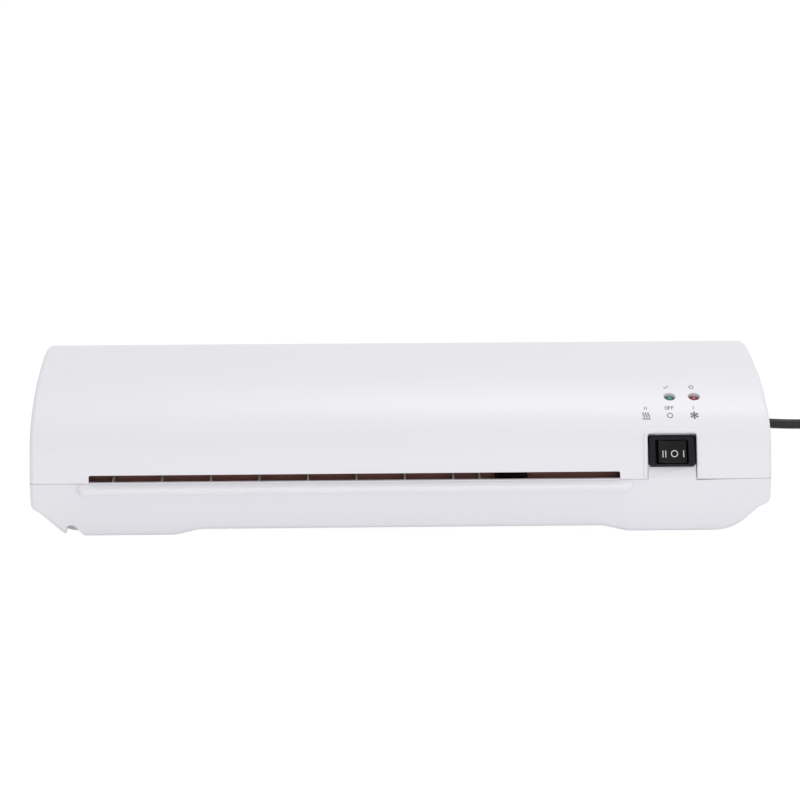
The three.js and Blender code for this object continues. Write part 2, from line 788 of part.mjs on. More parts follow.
// Centre of the idler that meshes with a roller's gear and the pinion, below the line between them.
function idlerCentre(rollerAxis, pinionAxis) {
  const toRoller = (gearModule * (rollerTeeth + idlerTeeth)) / 2;
  const toPinion = (gearModule * (pinionTeeth + idlerTeeth)) / 2;
  const line = pinionAxis.clone().sub(rollerAxis);
  const span = line.length();
  line.divideScalar(span);
  const along = (toRoller ** 2 - toPinion ** 2 + span ** 2) / (2 * span);
  const aside = Math.sqrt(toRoller ** 2 - along ** 2);
  const square = new THREE.Vector2(-line.y, line.x);
  const down = square.multiplyScalar(-Math.sign(square.y) * aside);
  return rollerAxis.clone().addScaledVector(line, along).add(down);
}

function sleeve() {
  const bore = shaftDiameter / 2 + clearance;
  const half = (slotRight - slotLeft) / 2 + rollerOverlap;
  const profile = [[bore, -half], [rollerRadius, -half], [rollerRadius, half], [bore, half], [bore, -half]];
  return turned(profile).rotateZ(-Math.PI / 2);
}

// Two flanged bores in one moulding: the flange lies inside the frame, the necks pass through it.
function bearingBlock() {
  const height = rollerSpacing + bearingFlange;
  const neckLength = bearingFlangeThickness + frameThickness + clearance;
  let body = solid(extrude(rectangle(bearingFlange, height, bearingCornerRadius), bearingFlangeThickness));
  const centres = [-rollerSpacing / 2, rollerSpacing / 2];
  for (const y of centres) {
    body = body.add(solid(extrude(shifted(circle(bearingHoleDiameter), 0, y), neckLength)));
  }
  const boreDiameter = shaftDiameter + clearance * 2;
  body = cut(body, centres.map((y) => rodZ(boreDiameter, -overrun, neckLength + overrun, 0, y)));
  return geometryOf(body).applyMatrix4(sideViewFrame);
}

// A steel side frame: a sheet that follows the roof, with a flange on the floor.
function sideFrame(x) {
  const bottom = footFloor + clearance;
  const section = [...coverSection(frameInset)];
  const front = frontY + frameFrontDepth;
  const rear = frontY + frameRearDepth;
  const outer = x + frameThickness;
  const sheet = joined(
    alongX(shifted(section, frontY, seamHeight), x, outer),
    block(x, outer, frontY + frameInset, rearY - frameInset, bottom, seamHeight + fuse),
  ).intersect(solid(block(x - overrun, x + overrun, front, rear, bottom, bodyWidth)));
  const flange = block(x, x + flangeWidth, front + overrun, rear - overrun, bottom, bottom + frameThickness);
  const tongueFront = frontY + plateMiddleDepth - tongueWidth / 2 - clearance;
  const tongueRear = frontY + plateMiddleDepth + tongueWidth / 2 + clearance;
  const holes = [];
  for (const depth of [frontAxisDepth, rearAxisDepth]) {
    for (const height of [lowerAxisHeight, upperAxisHeight]) {
      const diameter = bearingHoleDiameter + clearance * 2;
      holes.push(rodX(diameter, x - overrun, x + overrun, frontY + depth, height));
    }
  }
  for (const plateBottom of [lowerPlateBottom, pathHeight + plateOpening / 2]) {
    const slotBottom = plateBottom - clearance;
    const slotTop = plateBottom + plateThickness + clearance;
    holes.push(block(x - overrun, x + overrun, tongueFront, tongueRear, slotBottom, slotTop));
  }
  return geometryOf(cut(sheet.add(solid(flange)), holes));
}

// A heated plate with its working face down, its edges sloped for the pouch and a tongue at each end.
function heatPlate() {
  const half = (plateRearDepth - plateFrontDepth) / 2;
  const section = [
    [-half, plateChamfer],
    [plateChamfer * 2 - half, 0],
    [half - plateChamfer * 2, 0],
    [half, plateChamfer],
    [half, plateThickness],
    [-half, plateThickness],
  ];
  const left = frameLeftX + clearance;
  const right = frameRightX - clearance;
  const tongue = frameThickness + clearance * 2;
  return geometryOf(joined(
    alongX(roundedOutline(section), left, right),
    block(left - tongue, right + tongue, -tongueWidth / 2, tongueWidth / 2, plateChamfer, plateThickness),
  ));
}

function heater() {
  const half = (plateRearDepth - plateFrontDepth) / 2 - heaterMargin;
  return block(frameLeftX + heaterEndMargin, frameRightX - heaterEndMargin, -half, half, 0, heaterThickness);
}

// A guide: a bar on the floor between the frames, with upright blades.
function guide(barDepth, bladeSection, places) {
  const bar = block(
    frameLeftX + clearance,
    frameRightX - clearance,
    frontY + barDepth,
    frontY + barDepth + guideBarDepth,
    bellyFloor + clearance,
    guideBarHeight,
  );
  const blades = places.map((x) => {
    const outline = shifted(roundedOutline(bladeSection), frontY, 0);
    return alongX(outline, x - bladeThickness / 2, x + bladeThickness / 2);
  });
  return geometryOf(joined(bar, ...blades));
}

const bladeTop = seamHeight - bladeDrop;
const bladeRoot = guideBarHeight - fuse;

const firstBlade = slotLeft + firstBladeOffset;
const lastBlade = slotRight - lastBladeInset;
const lastEvenBlade = lastBlade - lastBladeOffset;
const bladePitch = (lastEvenBlade - firstBlade) / (bladeCount - 1);
const entryBladePlaces = [...evenly(bladeCount, bladePitch, (firstBlade + lastEvenBlade) / 2), lastBlade];

function entryGuide() {
  const section = [
    [bladeFrontDepth, bladeRoot],
    [bladeHeelDepth, bladeRoot],
    [bladeHeelDepth, lowerAxisHeight],
    [bladeNoseDepth, bladeTop],
    [bladeFrontDepth, bladeTop],
  ];
  return guide(guideFrontDepth, section, entryBladePlaces);
}

function exitGuide() {
  const section = [
    [exitBladeFrontDepth, bladeRoot],
    [exitBladeRearDepth, bladeRoot],
    [exitBladeRearDepth, bladeTop],
    [exitBladeFrontDepth, bladeTop],
  ];
  const places = evenly(exitBladeCount, (slotRight - slotLeft) / exitBladeCount, slotMiddle);
  return guide(exitBladeRearDepth - guideBarDepth, section, places);
}

// The switch housing in the tab's frame: bezel, body through the cut-out, well and terminal blades.
function switchHousing() {
  const bodyOutline = rectangle(switchCutWidth - clearance * 2, switchCutHeight - clearance * 2);
  const bezel = extrude(rectangle(bezelWidth, bezelHeight, bezelRadius), bezelThickness);
  let housing = joined(
    bezel.translate(0, bezelRise, clearance),
    extrude(bodyOutline, switchDepth + clearance + bezelThickness / 2).translate(0, 0, -switchDepth),
  );
  const well = extrude(rectangle(wellWidth, wellHeight), wellDepth + overrun);
  housing = cut(housing, [well.translate(0, 0, bezelThickness - wellDepth)]);
  const terminalHalf = terminalWidth / 2;
  const terminalEnd = -switchDepth - terminalLength;
  for (const place of evenly(terminalCount, terminalPitch, 0)) {
    const from = place - terminalThickness / 2;
    const to = from + terminalThickness;
    const terminal = block(from, to, -terminalHalf, terminalHalf, terminalEnd, fuse - switchDepth);
    housing = housing.add(solid(terminal));
  }
  return geometryOf(housing);
}

// The rocker about its pivot: a dished face, raised at both ends, on a narrow keel.
function rocker() {
  const half = wellWidth / 2 - rockerSideGap;
  const top = rockerPivotDepth + bezelThickness + rockerArm;
  const face = Array.from({ length: rockerFaceSteps + 1 }, (_, i) => {
    const share = 1 - (2 * i) / rockerFaceSteps;
    return new THREE.Vector2(half * share, top - rockerDish * (1 - share ** 2));
  });
  const keel = rockerKeel / 2;
  const outline = [new THREE.Vector2(-keel, 0), new THREE.Vector2(keel, 0), ...face];
  const reach = wellHeight / 2 - clearance;
  return alongY(outline, -reach, reach);
}

function led() {
  const radius = ledDiameter / 2;
  const flangeRadius = ledFlangeDiameter / 2;
  const flangeTop = ledFlangeThickness - ledLength;
  const foot = [[0, -ledLength], [flangeRadius, -ledLength], [flangeRadius, flangeTop], [radius, flangeTop]];
  const dome = domeAngles.map((angle) => heading(angle).multiplyScalar(radius));
  const profile = [...foot, ...dome.map(({ x, y }) => [x, y - radius])];
  return turned(profile).rotateX(Math.PI / 2);
}

function motorCan() {
  const radius = motorDiameter / 2;
  const end = [[radius, motorLength - motorEdge], [radius - motorEdge, motorLength], [0, motorLength]];
  const profile = [[0, 0], [radius, 0], ...end];
  return turned(profile).rotateZ(-Math.PI / 2);
}

function motorGearbox() {
  const bore = circle(pinionShaftDiameter + clearance * 2);
  return extrude(circle(motorDiameter), gearboxLength, [bore]).applyMatrix4(sideViewFrame);
}

function pinion() {
  const shaftEnd = motorX - gearX + gearboxLength / 2;
  return geometryOf(joined(gear(pinionTeeth, []), rodX(pinionShaftDiameter, gearWidth / 2, shaftEnd)));
}

function idlerPin() {
  const pin = rodX(idlerPinDiameter, 0, gearHub + gearWidth + clearance);
  return geometryOf(joined(pin, rodX(idlerPinHead, 0, gearHub - clearance * 2)));
}

function screw() {
  const length = screwHeadHeight + screwShankLength;
  return geometryOf(joined(
    rodZ(screwHeadDiameter, 0, screwHeadHeight),
    rodZ(screwShankDiameter, screwHeadHeight / 2, length),
  ));
}

function strainRelief() {
  const inside = -shellWall - baseDraftRun - clearance;
  const outside = clearance + reliefCollarThickness;
  const collar = reliefCollarDiameter / 2;
  const neck = reliefNeckDiameter / 2;
  const profile = [
    [0, inside - reliefCollarThickness],
    [collar, inside - reliefCollarThickness],
    [collar, inside],
    [neck, inside],
    [neck, clearance],
    [collar, clearance],
    [collar, outside],
    [reliefRootDiameter / 2, outside],
    [reliefTipDiameter / 2, reliefLength],
    [0, reliefLength],
  ];
  return turned(profile);
}

// The cord's free stretch, chosen by hand: straight out of the strain relief, down to the table, off to the
// right. Each point is a distance right of the strain relief, one behind the rear face and a height.
const cordPoints = [
  [0, 30.4, 14],
  [0, 36, 14],
  [0.3, 42, 13.3],
  [2.6, 49, 11.4],
  [7.2, 54.7, 9.2],
  [13.6, 58.6, 7.1],
  [21.4, 60.2, 5.4],
  [30, 59.5, 4.1],
  [39, 56.8, 3.3],
  [48, 53, 2.9],
  [57, 49.2, 2.7],
  [66, 46, 2.7],
  [75, 43.8, 2.7],
  [85, 42.2, 2.7],
  [96, 41.3, 2.9],
  [108, 41, 3.5],
  [118, 41, 4],
  [125.7, 41, 4],
];

function powerCord() {
  const points = cordPoints.map(([x, y, z]) => new THREE.Vector3(reliefX + x, rearY + y, z));
  const path = new THREE.CatmullRomCurve3(points, false, 'centripetal');
  const shape = new THREE.Shape(circle(cordDiameter, cordSides));
  return new THREE.ExtrudeGeometry(shape, { extrudePath: path, steps: points.length, bevelEnabled: false });
}

// The coil runs in towards its middle along the table, climbs a layer and runs out again on top.
const coilCentreY = rearY + coilApproach - coilInnerRadius - (coilPitch * coilTurns) / 2;

function coilPoint(turn) {
  const half = coilTurns / 2;
  const climb = THREE.MathUtils.smoothstep(turn, half - coilClimbTurns / 2, half + coilClimbTurns / 2);
  const radius = coilInnerRadius + coilPitch * Math.abs(half - turn);
  const angle = Math.PI / 2 - turn * Math.PI * 2;
  const x = coilX + radius * Math.cos(angle);
  return new THREE.Vector3(x, coilCentreY + radius * Math.sin(angle), coilRest + coilPitch * climb);
}

// Heading of the cord where the coil ends.
const coilEnd = coilPoint(coilTurns);
const coilEndTurn = -coilTurns * Math.PI * 2;
const coilEndHeading = new THREE.Vector3(Math.cos(coilEndTurn), Math.sin(coilEndTurn), 0);

function coilPath() {
  const steps = Math.round(coilTurns * coilSteps);
  const turns = Array.from({ length: steps + 1 }, (_, i) => coilPoint((coilTurns * i) / steps));
  const lead = turns[0].clone().addScaledVector(across, -coilLead);
  return [lead, ...turns, coilEnd.clone().addScaledVector(coilEndHeading, coilTail)];
}

// A tube round a nearly level path, its rings joined and its ends closed.
function levelTube(path, diameter, sides) {
  const positions = [];
  const indices = [];
  path.forEach((point, i) => {
    const before = path[Math.max(i - 1, 0)];
    const after = path[Math.min(i + 1, path.length - 1)];
    const tangent = after.clone().sub(before).normalize();
    const aside = tangent.clone().cross(up).normalize();
    const above = aside.clone().cross(tangent);
    for (const { x, y } of circle(diameter, sides)) {
      positions.push(...point.clone().addScaledVector(aside, x).addScaledVector(above, y));
    }
  });
  const ring = (i, k) => i * sides + (k % sides);
  for (let i = 0; i < path.length - 1; i++) {
    for (let k = 0; k < sides; k++) {
      indices.push(ring(i, k), ring(i + 1, k), ring(i + 1, k + 1));
      indices.push(ring(i, k), ring(i + 1, k + 1), ring(i, k + 1));
    }
  }
  for (let k = 1; k < sides - 1; k++) {
    indices.push(0, k, k + 1);
    const last = path.length - 1;
    indices.push(ring(last, 0), ring(last, k + 1), ring(last, k));
  }
  const geometry = new THREE.BufferGeometry();
  geometry.setAttribute('position', new THREE.Float32BufferAttribute(positions, 3));
  geometry.setIndex(indices);
  return geometry;
}

// The least gap between the coil's surface and itself, over points at least half a turn apart.
function leastGap(path) {
  let least = Infinity;
  path.forEach((point, i) => {
    for (const other of path.slice(i + coilSteps / 2)) {
      least = Math.min(least, point.distanceTo(other));
    }
  });
  return least - cordDiameter;
}

// A band round the coil's turns, sized from the points that pass through it.
function coilTie(path) {
  const outward = new THREE.Vector3(Math.cos(rad(tieAngle)), Math.sin(rad(tieAngle)), 0);
  const middle = new THREE.Vector3(coilX, coilCentreY, 0);
  const passing = path.map((point) => point.clone().sub(middle)).filter((point) => {
    const reach = point.dot(outward);
    const aside = Math.abs(point.clone().cross(outward).z);
    return reach > 0 && aside < tieWidth;
  });
  const reaches = passing.map((point) => point.dot(outward));
  const heights = passing.map((point) => point.z);
  const margin = cordDiameter / 2 + tieInnerGap;
  const width = Math.max(...reaches) - Math.min(...reaches) + margin * 2;
  const height = Math.max(...heights) - Math.min(...heights) + cordDiameter + clearance * 2;
  const hole = rectangle(width, height);
  const outline = rectangle(width + tieThickness * 2, height + tieThickness * 2);
  const centre = middle.addScaledVector(outward, (Math.max(...reaches) + Math.min(...reaches)) / 2);
  centre.z = (Math.max(...heights) + Math.min(...heights)) / 2;
  return { geometry: extrude(outline, tieWidth, [hole]).translate(0, 0, -tieWidth / 2), centre };
}

const laminator = new THREE.Group();

function add(parent, name, geometry, finish, x = 0, y = 0, z = 0) {
  const mesh = new THREE.Mesh(geometry, new THREE.MeshStandardMaterial(finish));
  mesh.name = name;
  mesh.position.set(x, y, z);
  parent.add(mesh);
  return mesh;
}

function addGroup(frame) {
  const group = new THREE.Group();
  group.applyMatrix4(frame);
  laminator.add(group);
  return group;
}

// Shells, feet and screws
add(laminator, 'upper_cover', upperCover(), whitePlastic);
add(laminator, 'lower_base', lowerBase(), whitePlastic);
for (const [place, x, depth] of footPadPlaces) {
  const pad = rodZ(footPadDiameter, 0, footDrop + footPadRecess - clearance);
  add(laminator, `foot_pad_${place}`, pad, greyRubber, x, frontY + depth, 0);
}
for (const [place, x, depth] of bossPlaces) {
  const seat = screwSeatHeight - clearance - screwHeadHeight;
  add(laminator, `case_screw_${place}`, screw(), zincSteel, x, frontY + depth, seat);
}

// Switch
const switchGroup = addGroup(tabFrame);
add(switchGroup, 'switch_body', switchHousing(), blackPlastic, 0, switchAlongTab, 0);
add(switchGroup, 'switch_rocker', rocker(), blackPlastic, 0, switchAlongTab, clearance - rockerPivotDepth);

// Lights
const lightGroup = addGroup(lightFrame);
add(lightGroup, 'ready_led', led(), greenLens, -lightPitch / 2, 0, -ledSink);
add(lightGroup, 'power_led', led(), redLens, lightPitch / 2, 0, -ledSink);
const ledBoard = extrude(rectangle(ledBoardWidth, ledBoardHeight), boardThickness);
add(lightGroup, 'led_board', ledBoard, boardResin, 0, 0, ledBoardTop - boardThickness);

// Frames and guides
add(laminator, 'left_frame', sideFrame(frameLeftX - frameThickness), zincSteel);
add(laminator, 'right_frame', sideFrame(frameRightX), zincSteel);
add(laminator, 'entry_guide', entryGuide(), palePlastic);
add(laminator, 'exit_guide', exitGuide(), palePlastic);
const sensorY = frontY + bladeHeelDepth;
const sensor = block(0, sensorWidth, -sensorDepth, 0, guideBarHeight + clearance, bladeTop);
add(laminator, 'roller_sensor', sensor, blackPlastic, lastBlade + sensorOffset, sensorY, 0);

// Rollers, shafts and gears, placed by depth and height
const works = addGroup(new THREE.Matrix4().setPosition(0, frontY, 0));
const rollerAxes = {
  front_lower: new THREE.Vector2(frontAxisDepth, lowerAxisHeight),
  front_upper: new THREE.Vector2(frontAxisDepth, upperAxisHeight),
  rear_lower: new THREE.Vector2(rearAxisDepth, lowerAxisHeight),
  rear_upper: new THREE.Vector2(rearAxisDepth, upperAxisHeight),
};
const pinionAxis = new THREE.Vector2(motorAxisDepth, motorAxisHeight);
const shaftLeft = frameLeftX - frameThickness - shaftOverhang;
const shaftRight = gearX + gearWidth + clearance;
const shaftBore = circle(shaftDiameter + clearance * 2);
const pinBore = circle(idlerPinDiameter + clearance * 2);
const pinX = frameRightX + frameThickness + clearance;
const bearingReach = clearance + bearingFlangeThickness;
const bearingSides = [
  ['right', frameRightX - bearingReach, 0],
  ['left', frameLeftX + bearingReach, Math.PI],
];

function addGear(name, geometry, axis, turn) {
  add(works, name, geometry, gearPlastic, gearX, axis.x, axis.y).rotation.x = turn;
}

for (const [place, axis] of Object.entries(rollerAxes)) {
  add(works, `${place}_roller`, sleeve(), silicone, slotMiddle, axis.x, axis.y);
  add(works, `${place}_shaft`, rodX(shaftDiameter, shaftLeft, shaftRight), steel, 0, axis.x, axis.y);
}
addGear('motor_pinion', pinion(), pinionAxis, 0);
for (const place of ['front', 'rear']) {
  const lower = rollerAxes[`${place}_lower`];
  const upper = rollerAxes[`${place}_upper`];
  const idler = idlerCentre(lower, pinionAxis);
  const idlerTurn = meshTurn(0, pinionTeeth, idlerTeeth, pinionAxis, idler);
  const lowerTurn = meshTurn(idlerTurn, idlerTeeth, rollerTeeth, idler, lower);
  const upperTurn = meshTurn(lowerTurn, rollerTeeth, rollerTeeth, lower, upper);
  addGear(`${place}_idler`, gear(idlerTeeth, [pinBore]), idler, idlerTurn);
  addGear(`${place}_lower_gear`, gear(rollerTeeth, [shaftBore]), lower, lowerTurn);
  addGear(`${place}_upper_gear`, gear(rollerTeeth, [shaftBore]), upper, upperTurn);
  add(works, `${place}_idler_pin`, idlerPin(), steel, pinX, idler.x, idler.y);
  for (const [side, x, turn] of bearingSides) {
    const name = `${place}_${side}_bearing`;
    add(works, name, bearingBlock(), gearPlastic, x, lower.x, pathHeight).rotation.z = turn;
  }
}

// Motor
add(works, 'motor_gearbox', motorGearbox(), zincSteel, motorX, pinionAxis.x, pinionAxis.y);
const canX = motorX + gearboxLength + clearance;
add(works, 'motor_can', motorCan(), zincSteel, canX, pinionAxis.x, pinionAxis.y);
for (const [name, rise] of [['motor_post_upper', upperPostRise], ['motor_post_lower', -lowerPostDrop]]) {
  const post = rodX(postDiameter, pinX, motorX - clearance);
  add(works, name, post, steel, 0, pinionAxis.x, pinionAxis.y + rise);
}

// Heated plates
const fuseRest = upperPlateTop + clearance + heaterThickness + clearance;
for (const [place, side, turn] of [['upper', 1, 0], ['lower', -1, Math.PI]]) {
  const face = pathHeight + (side * plateOpening) / 2;
  add(works, `${place}_heat_plate`, heatPlate(), aluminium, 0, plateMiddleDepth, face).rotation.x = turn;
}
add(works, 'upper_heater', heater(), mica, 0, plateMiddleDepth, upperPlateTop + clearance);
const lowerHeaterBottom = lowerPlateBottom - clearance - heaterThickness;
add(works, 'lower_heater', heater(), mica, 0, plateMiddleDepth, lowerHeaterBottom);
const thermostat = rodZ(thermostatDiameter, 0, thermostatHeight);
add(works, 'thermostat', thermostat, blackPlastic, slotMiddle + thermostatOffset, plateMiddleDepth, fuseRest);
const fuseBody = rodX(fuseDiameter, -fuseLength / 2, fuseLength / 2, 0, fuseDiameter / 2);
add(works, 'thermal_fuse', fuseBody, brass, slotMiddle + fuseOffset, plateMiddleDepth, fuseRest);

// Power board
const board = extrude(rectangle(boardWidth, boardRearDepth - boardFrontDepth), boardThickness);
add(works, 'power_board', board, boardResin, boardX, (boardFrontDepth + boardRearDepth) / 2, boardHeight);
const [capacitorWidth, capacitorLength, capacitorHeight] = capacitorSize;
const capacitor = extrude(rectangle(capacitorWidth, capacitorLength), capacitorHeight);
const capacitorFoot = boardHeight + boardThickness + clearance;
add(works, 'motor_capacitor', capacitor, capacitorFilm, boardX, capacitorDepth, capacitorFoot);

// Cord, coil and plug
add(laminator, 'strain_relief', strainRelief(), blackRubber, reliefX, rearY, reliefHeight);
add(laminator, 'power_cord', powerCord(), blackRubber);
const coil = coilPath();
console.log(`cord_coil: least gap to itself ${leastGap(coil).toFixed(2)} mm`);
add(laminator, 'cord_coil', levelTube(coil, cordDiameter, coilSides), blackRubber);
const tie = coilTie(coil);
const tieMesh = add(laminator, 'cord_tie', tie.geometry, blackPlastic, ...tie.centre);
tieMesh.rotation.set(Math.PI / 2, 0, rad(tieAngle), 'ZXY');

// The plug's frame: Y ahead along the cord, Z up, the origin where the neck meets the cord.
const plugStart = coilEnd.clone().addScaledVector(coilEndHeading, coilTail + clearance);
const plugAside = coilEndHeading.clone().cross(up);
const plugFrame = new THREE.Matrix4().makeBasis(plugAside, coilEndHeading, up).setPosition(plugStart);
const plugGroup = addGroup(plugFrame);
const plugHeight = (coilRest + coilPitch) * 2 - clearance * 2;
const plugBody = joined(
  alongY(rectangle(plugWidth, plugHeight, plugRadius), plugNeckLength, plugNeckLength + plugLength),
  rodY(plugNeckDiameter, 0, plugNeckLength + fuse),
);
add(plugGroup, 'plug_body', geometryOf(plugBody), blackRubber);
for (const [name, side] of [['plug_pin_left', -1], ['plug_pin_right', 1]]) {
  const start = plugNeckLength + plugLength + clearance;
  const blade = alongY(rectangle(pinThickness, pinWidth), start, start + pinLength);
  add(plugGroup, name, blade, brass, (side * pinSpacing) / 2, 0, 0);
}

export default laminator;
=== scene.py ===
import json
import math

import bmesh
import bpy
from mathutils import Matrix, Vector


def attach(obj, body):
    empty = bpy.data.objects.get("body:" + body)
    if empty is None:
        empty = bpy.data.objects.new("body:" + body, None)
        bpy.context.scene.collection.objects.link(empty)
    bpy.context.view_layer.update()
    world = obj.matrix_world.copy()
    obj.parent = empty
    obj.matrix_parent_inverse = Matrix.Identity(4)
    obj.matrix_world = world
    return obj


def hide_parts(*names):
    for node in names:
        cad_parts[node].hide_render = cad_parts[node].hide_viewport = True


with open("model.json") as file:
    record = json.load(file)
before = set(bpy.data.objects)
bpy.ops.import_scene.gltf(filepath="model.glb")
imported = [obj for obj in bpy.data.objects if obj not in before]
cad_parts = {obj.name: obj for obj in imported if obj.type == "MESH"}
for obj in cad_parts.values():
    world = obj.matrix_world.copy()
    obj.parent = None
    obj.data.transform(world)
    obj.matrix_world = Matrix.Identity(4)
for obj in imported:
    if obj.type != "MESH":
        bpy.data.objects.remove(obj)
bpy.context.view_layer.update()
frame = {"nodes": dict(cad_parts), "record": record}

# A pouch laminator dressed for its portrait. Pieces are drawn in millimetres and scaled to metres when they
# are finished. +Z is up and the feed slot faces -Y. "Depth" counts back from the front face at the seam.
METRE = 0.001

# Both shells
BODY_WIDTH = 336.0
BODY_END = BODY_WIDTH / 2
SEAM_HEIGHT = 25.7
SEAM_GAP = 0.4
SKIN_GAP = 0.02
TONGUE_FACE = 0.55
TONGUE_BACK = 2.0
TONGUE_DEPTH = 1.0
WALL = 2.2
EDGE_RADIUS = 2.4
END_DRAFT_SHARE = 0.004
OVERRUN = 4.0
CLEARANCE = 0.3
FRONT_FACE_LENGTH = 13.0
FRONT_FACE_ANGLE = 74.0
REAR_FACE_ANGLE = -80.0
# Radius, heading where it ends and number of chords of each arc, from the front face over the roof
COVER_BENDS = [(26.0, 27.0, 16), (100.0, 8.0, 20), (300.0, 3.0, 10), (60.0, -16.0, 12), (18.0, -80.0, 16)]
EDGE_STEPS = 6
ARC_STEP = 8.0  # degrees between the points of a rounded corner

# Slots, lip and vents
SLOT_LEFT = 26.7 - BODY_END
SLOT_RIGHT = BODY_END - 69.1
SLOT_HEIGHT = 3.7
SLOT_CORNER = 0.9
EXIT_HEIGHT = 3.6
SLOT_WALL_DEPTH = 4.5
LIP_REACH = 5.2
LIP_LEFT_MARGIN = 4.5
LIP_RIGHT_MARGIN = 5.4
LIP_TOP_DROP = 1.5
LIP_NOSE_HEIGHT = 2.6
LIP_UNDERCUT = 0.8
LIP_RADIUS = 1.4
LIP_END_RADIUS = 2.8
LIP_END_SINK = 0.35
LIP_ROOT = 1.4
VENT_WIDTH = 2.0
VENT_HEIGHT = 9.0
VENT_PITCH = 5.5
VENTS_PER_GROUP = 7
VENT_RISE = 12.0
VENT_GROUP_INSET = 56.5

# Lower shell
BASE_DRAFT = 0.9
FOOT_DROP = 0.2
# Inset from the body's end, height above the moulded foot and radius of each corner
BELLY_CORNERS = [(76.0, 2.7, 12.0), (65.0, 0.0, 12.0), (17.0, 0.0, 24.0), (5.0, 11.2, 8.0)]
END_CORNER_HEIGHT = 13.6
END_CORNER_RADIUS = 4.2
LEFT_FOOT_SPREAD = 1.2
LEFT_FOOT_RADIUS = 10.0
NOTCH_LEFT = 14.4 - BODY_END
NOTCH_FOOT_WIDTH = 9.8
NOTCH_TOP_WIDTH = 3.0
NOTCH_TOP = 5.9
NOTCH_LEAN = 1.9
NOTCH_RADIUS = 1.5
NOTCH_DEPTH = 10.0
PAD_DIAMETER = 12.0
PAD_RECESS = 1.0
PAD_X = BODY_END - 47.0
PAD_DEPTH = 14.0
PAD_GROOVE = 0.12
BOSS_X = BODY_END - 11.5
BOSS_FRONT_DEPTH = 15.0
BOSS_REAR_INSET = 13.0
BOSS_DIAMETER = 8.0
SCREW_HEAD = 6.0
SCREW_HEAD_HEIGHT = 2.0
SCREW_SHANK = 3.0
SCREW_LENGTH = 20.0
SCREW_SEAT = 14.0
THREAD_COUNT = 12
THREAD_PITCH = 1.3
THREAD_DEPTH = 0.25
CROSS_SIZE = (3.4, 0.7)
CROSS_DEPTH = 1.3
COLUMN_FOOT = 6.0
COLUMN_GAP = 0.1

# Switch and its tab
SWITCH_X = BODY_END - 45.4
TAB_ANGLE = 60.0
TAB_LENGTH = 26.0
TAB_WIDTH = 21.8
TAB_ROOT = 3.5
TAB_BEND = 3.0
TAB_ROOM = 2.0
RECESS_WIDTH = 22.4
RECESS_TOP = 19.8
RECESS_CORNER = 1.6
RECESS_DEPTH = 26.0
BEAD_WIDTH = 2.0
BEAD_RISE = 0.6
BEAD_SINK = 0.9
BEZEL_ALONG = 13.2
BEZEL_SIZE = (21.4, 14.2)
BEZEL_RADIUS = 1.2
BEZEL_THICKNESS = 1.8
SWITCH_CUT = (19.6, 12.9)
SWITCH_DEPTH = 13.0
WELL_SIZE = (14.6, 11.0)
WELL_DROP = 0.9  # the well sits this much below the bezel's middle
WELL_DEPTH = 7.0
ROCKER_GAP = 1.0
ROCKER_ARM = 1.4
ROCKER_DISH = 1.1
ROCKER_KEEL = 4.6
ROCKER_PIVOT = 3.0
ROCKER_EDGE = 0.6
PRINT_DEPTH = 0.06

# Lights
LIGHTS_X = BODY_END - 39.0
LIGHT_DEPTH = 24.1
LIGHT_PITCH = 11.2
LIGHT_HOLE = 5.4
LED_DIAMETER = 4.8
LED_LENGTH = 5.5
LED_FLANGE = 5.8
LED_FLANGE_THICKNESS = 1.0
LED_SINK = 0.8
POST_DIAMETER = 4.0
POST_X = 13.0

# Rollers and guides
ROLLER_SPACING = 17.0
ROLLER_RADIUS = 8.3
SHAFT_DIAMETER = 8.0
FRONT_AXIS_DEPTH = 22.0
AXIS_SPACING = 66.0
RIB_WIDTH = 0.8
RIB_DROP = 0.2
RIB_RISE = 1.3  # the entry ribs climb this much from the slot to the rollers
RIB_FRONT_DEPTH = 2.7
RIB_HEEL_DEPTH = 12.5
RIB_NOSE_DEPTH = 15.2
RIB_FIRST = 10.6
RIB_COUNT = 8
RIB_LAST_STEP = 11.9
RIB_LAST_INSET = 63.5
EXIT_RIB_COUNT = 9
GUIDE_BAR_DEPTH = 4.5
GUIDE_BAR_TOP = 12.0
GUIDE_MARGIN = 3.5  # of the bar beyond the slot's ends

# Cord, coil and plug
RELIEF_X = BODY_END - 50.0
RELIEF_HEIGHT = 14.0
RELIEF_LENGTH = 30.0
RELIEF_RINGS = 7
RELIEF_ROOT = 9.5
RELIEF_TIP = 6.2
RELIEF_GROOVE = 0.7
CORD_HOLE = 8.6
CORD_DIAMETER = 5.0
CORD_SIDES = 16
# Right of the strain relief, behind the rear face and above the table
CORD_POINTS = [
    (0, 30.4, 14), (0, 36, 14), (0.3, 42, 13.3), (2.6, 49, 11.4), (7.2, 54.7, 9.2), (13.6, 58.6, 7.1),
    (21.4, 60.2, 5.4), (30, 59.5, 4.1), (39, 56.8, 3.3), (48, 53, 2.9), (57, 49.2, 2.7), (66, 46, 2.7),
    (75, 43.8, 2.7), (85, 42.2, 2.7), (96, 41.3, 2.9), (108, 41, 3.5), (118, 41, 4), (125.7, 41, 4),
]
CORD_STEPS = 6
COIL_OFFSET = 140.0
COIL_PITCH = 5.6
COIL_INNER_RADIUS = 18.9
COIL_TURNS = 7.25
COIL_CLIMB = 0.5
COIL_STEPS = 48
COIL_REST = 4.0
COIL_TAIL = 30.0
COIL_APPROACH = 41.0
TIE_ANGLE = 150.0
TIE_WIDTH = 6.0
TIE_THICKNESS = 0.8
TIE_GAP = 0.6
TIE_CORNER = 1.2
PLUG_SIZE = (25.0, 18.6)
PLUG_NECK = 16.0
PLUG_NECK_DIAMETER = 8.0
PLUG_LENGTH = 36.0
PLUG_WAIST = 0.62
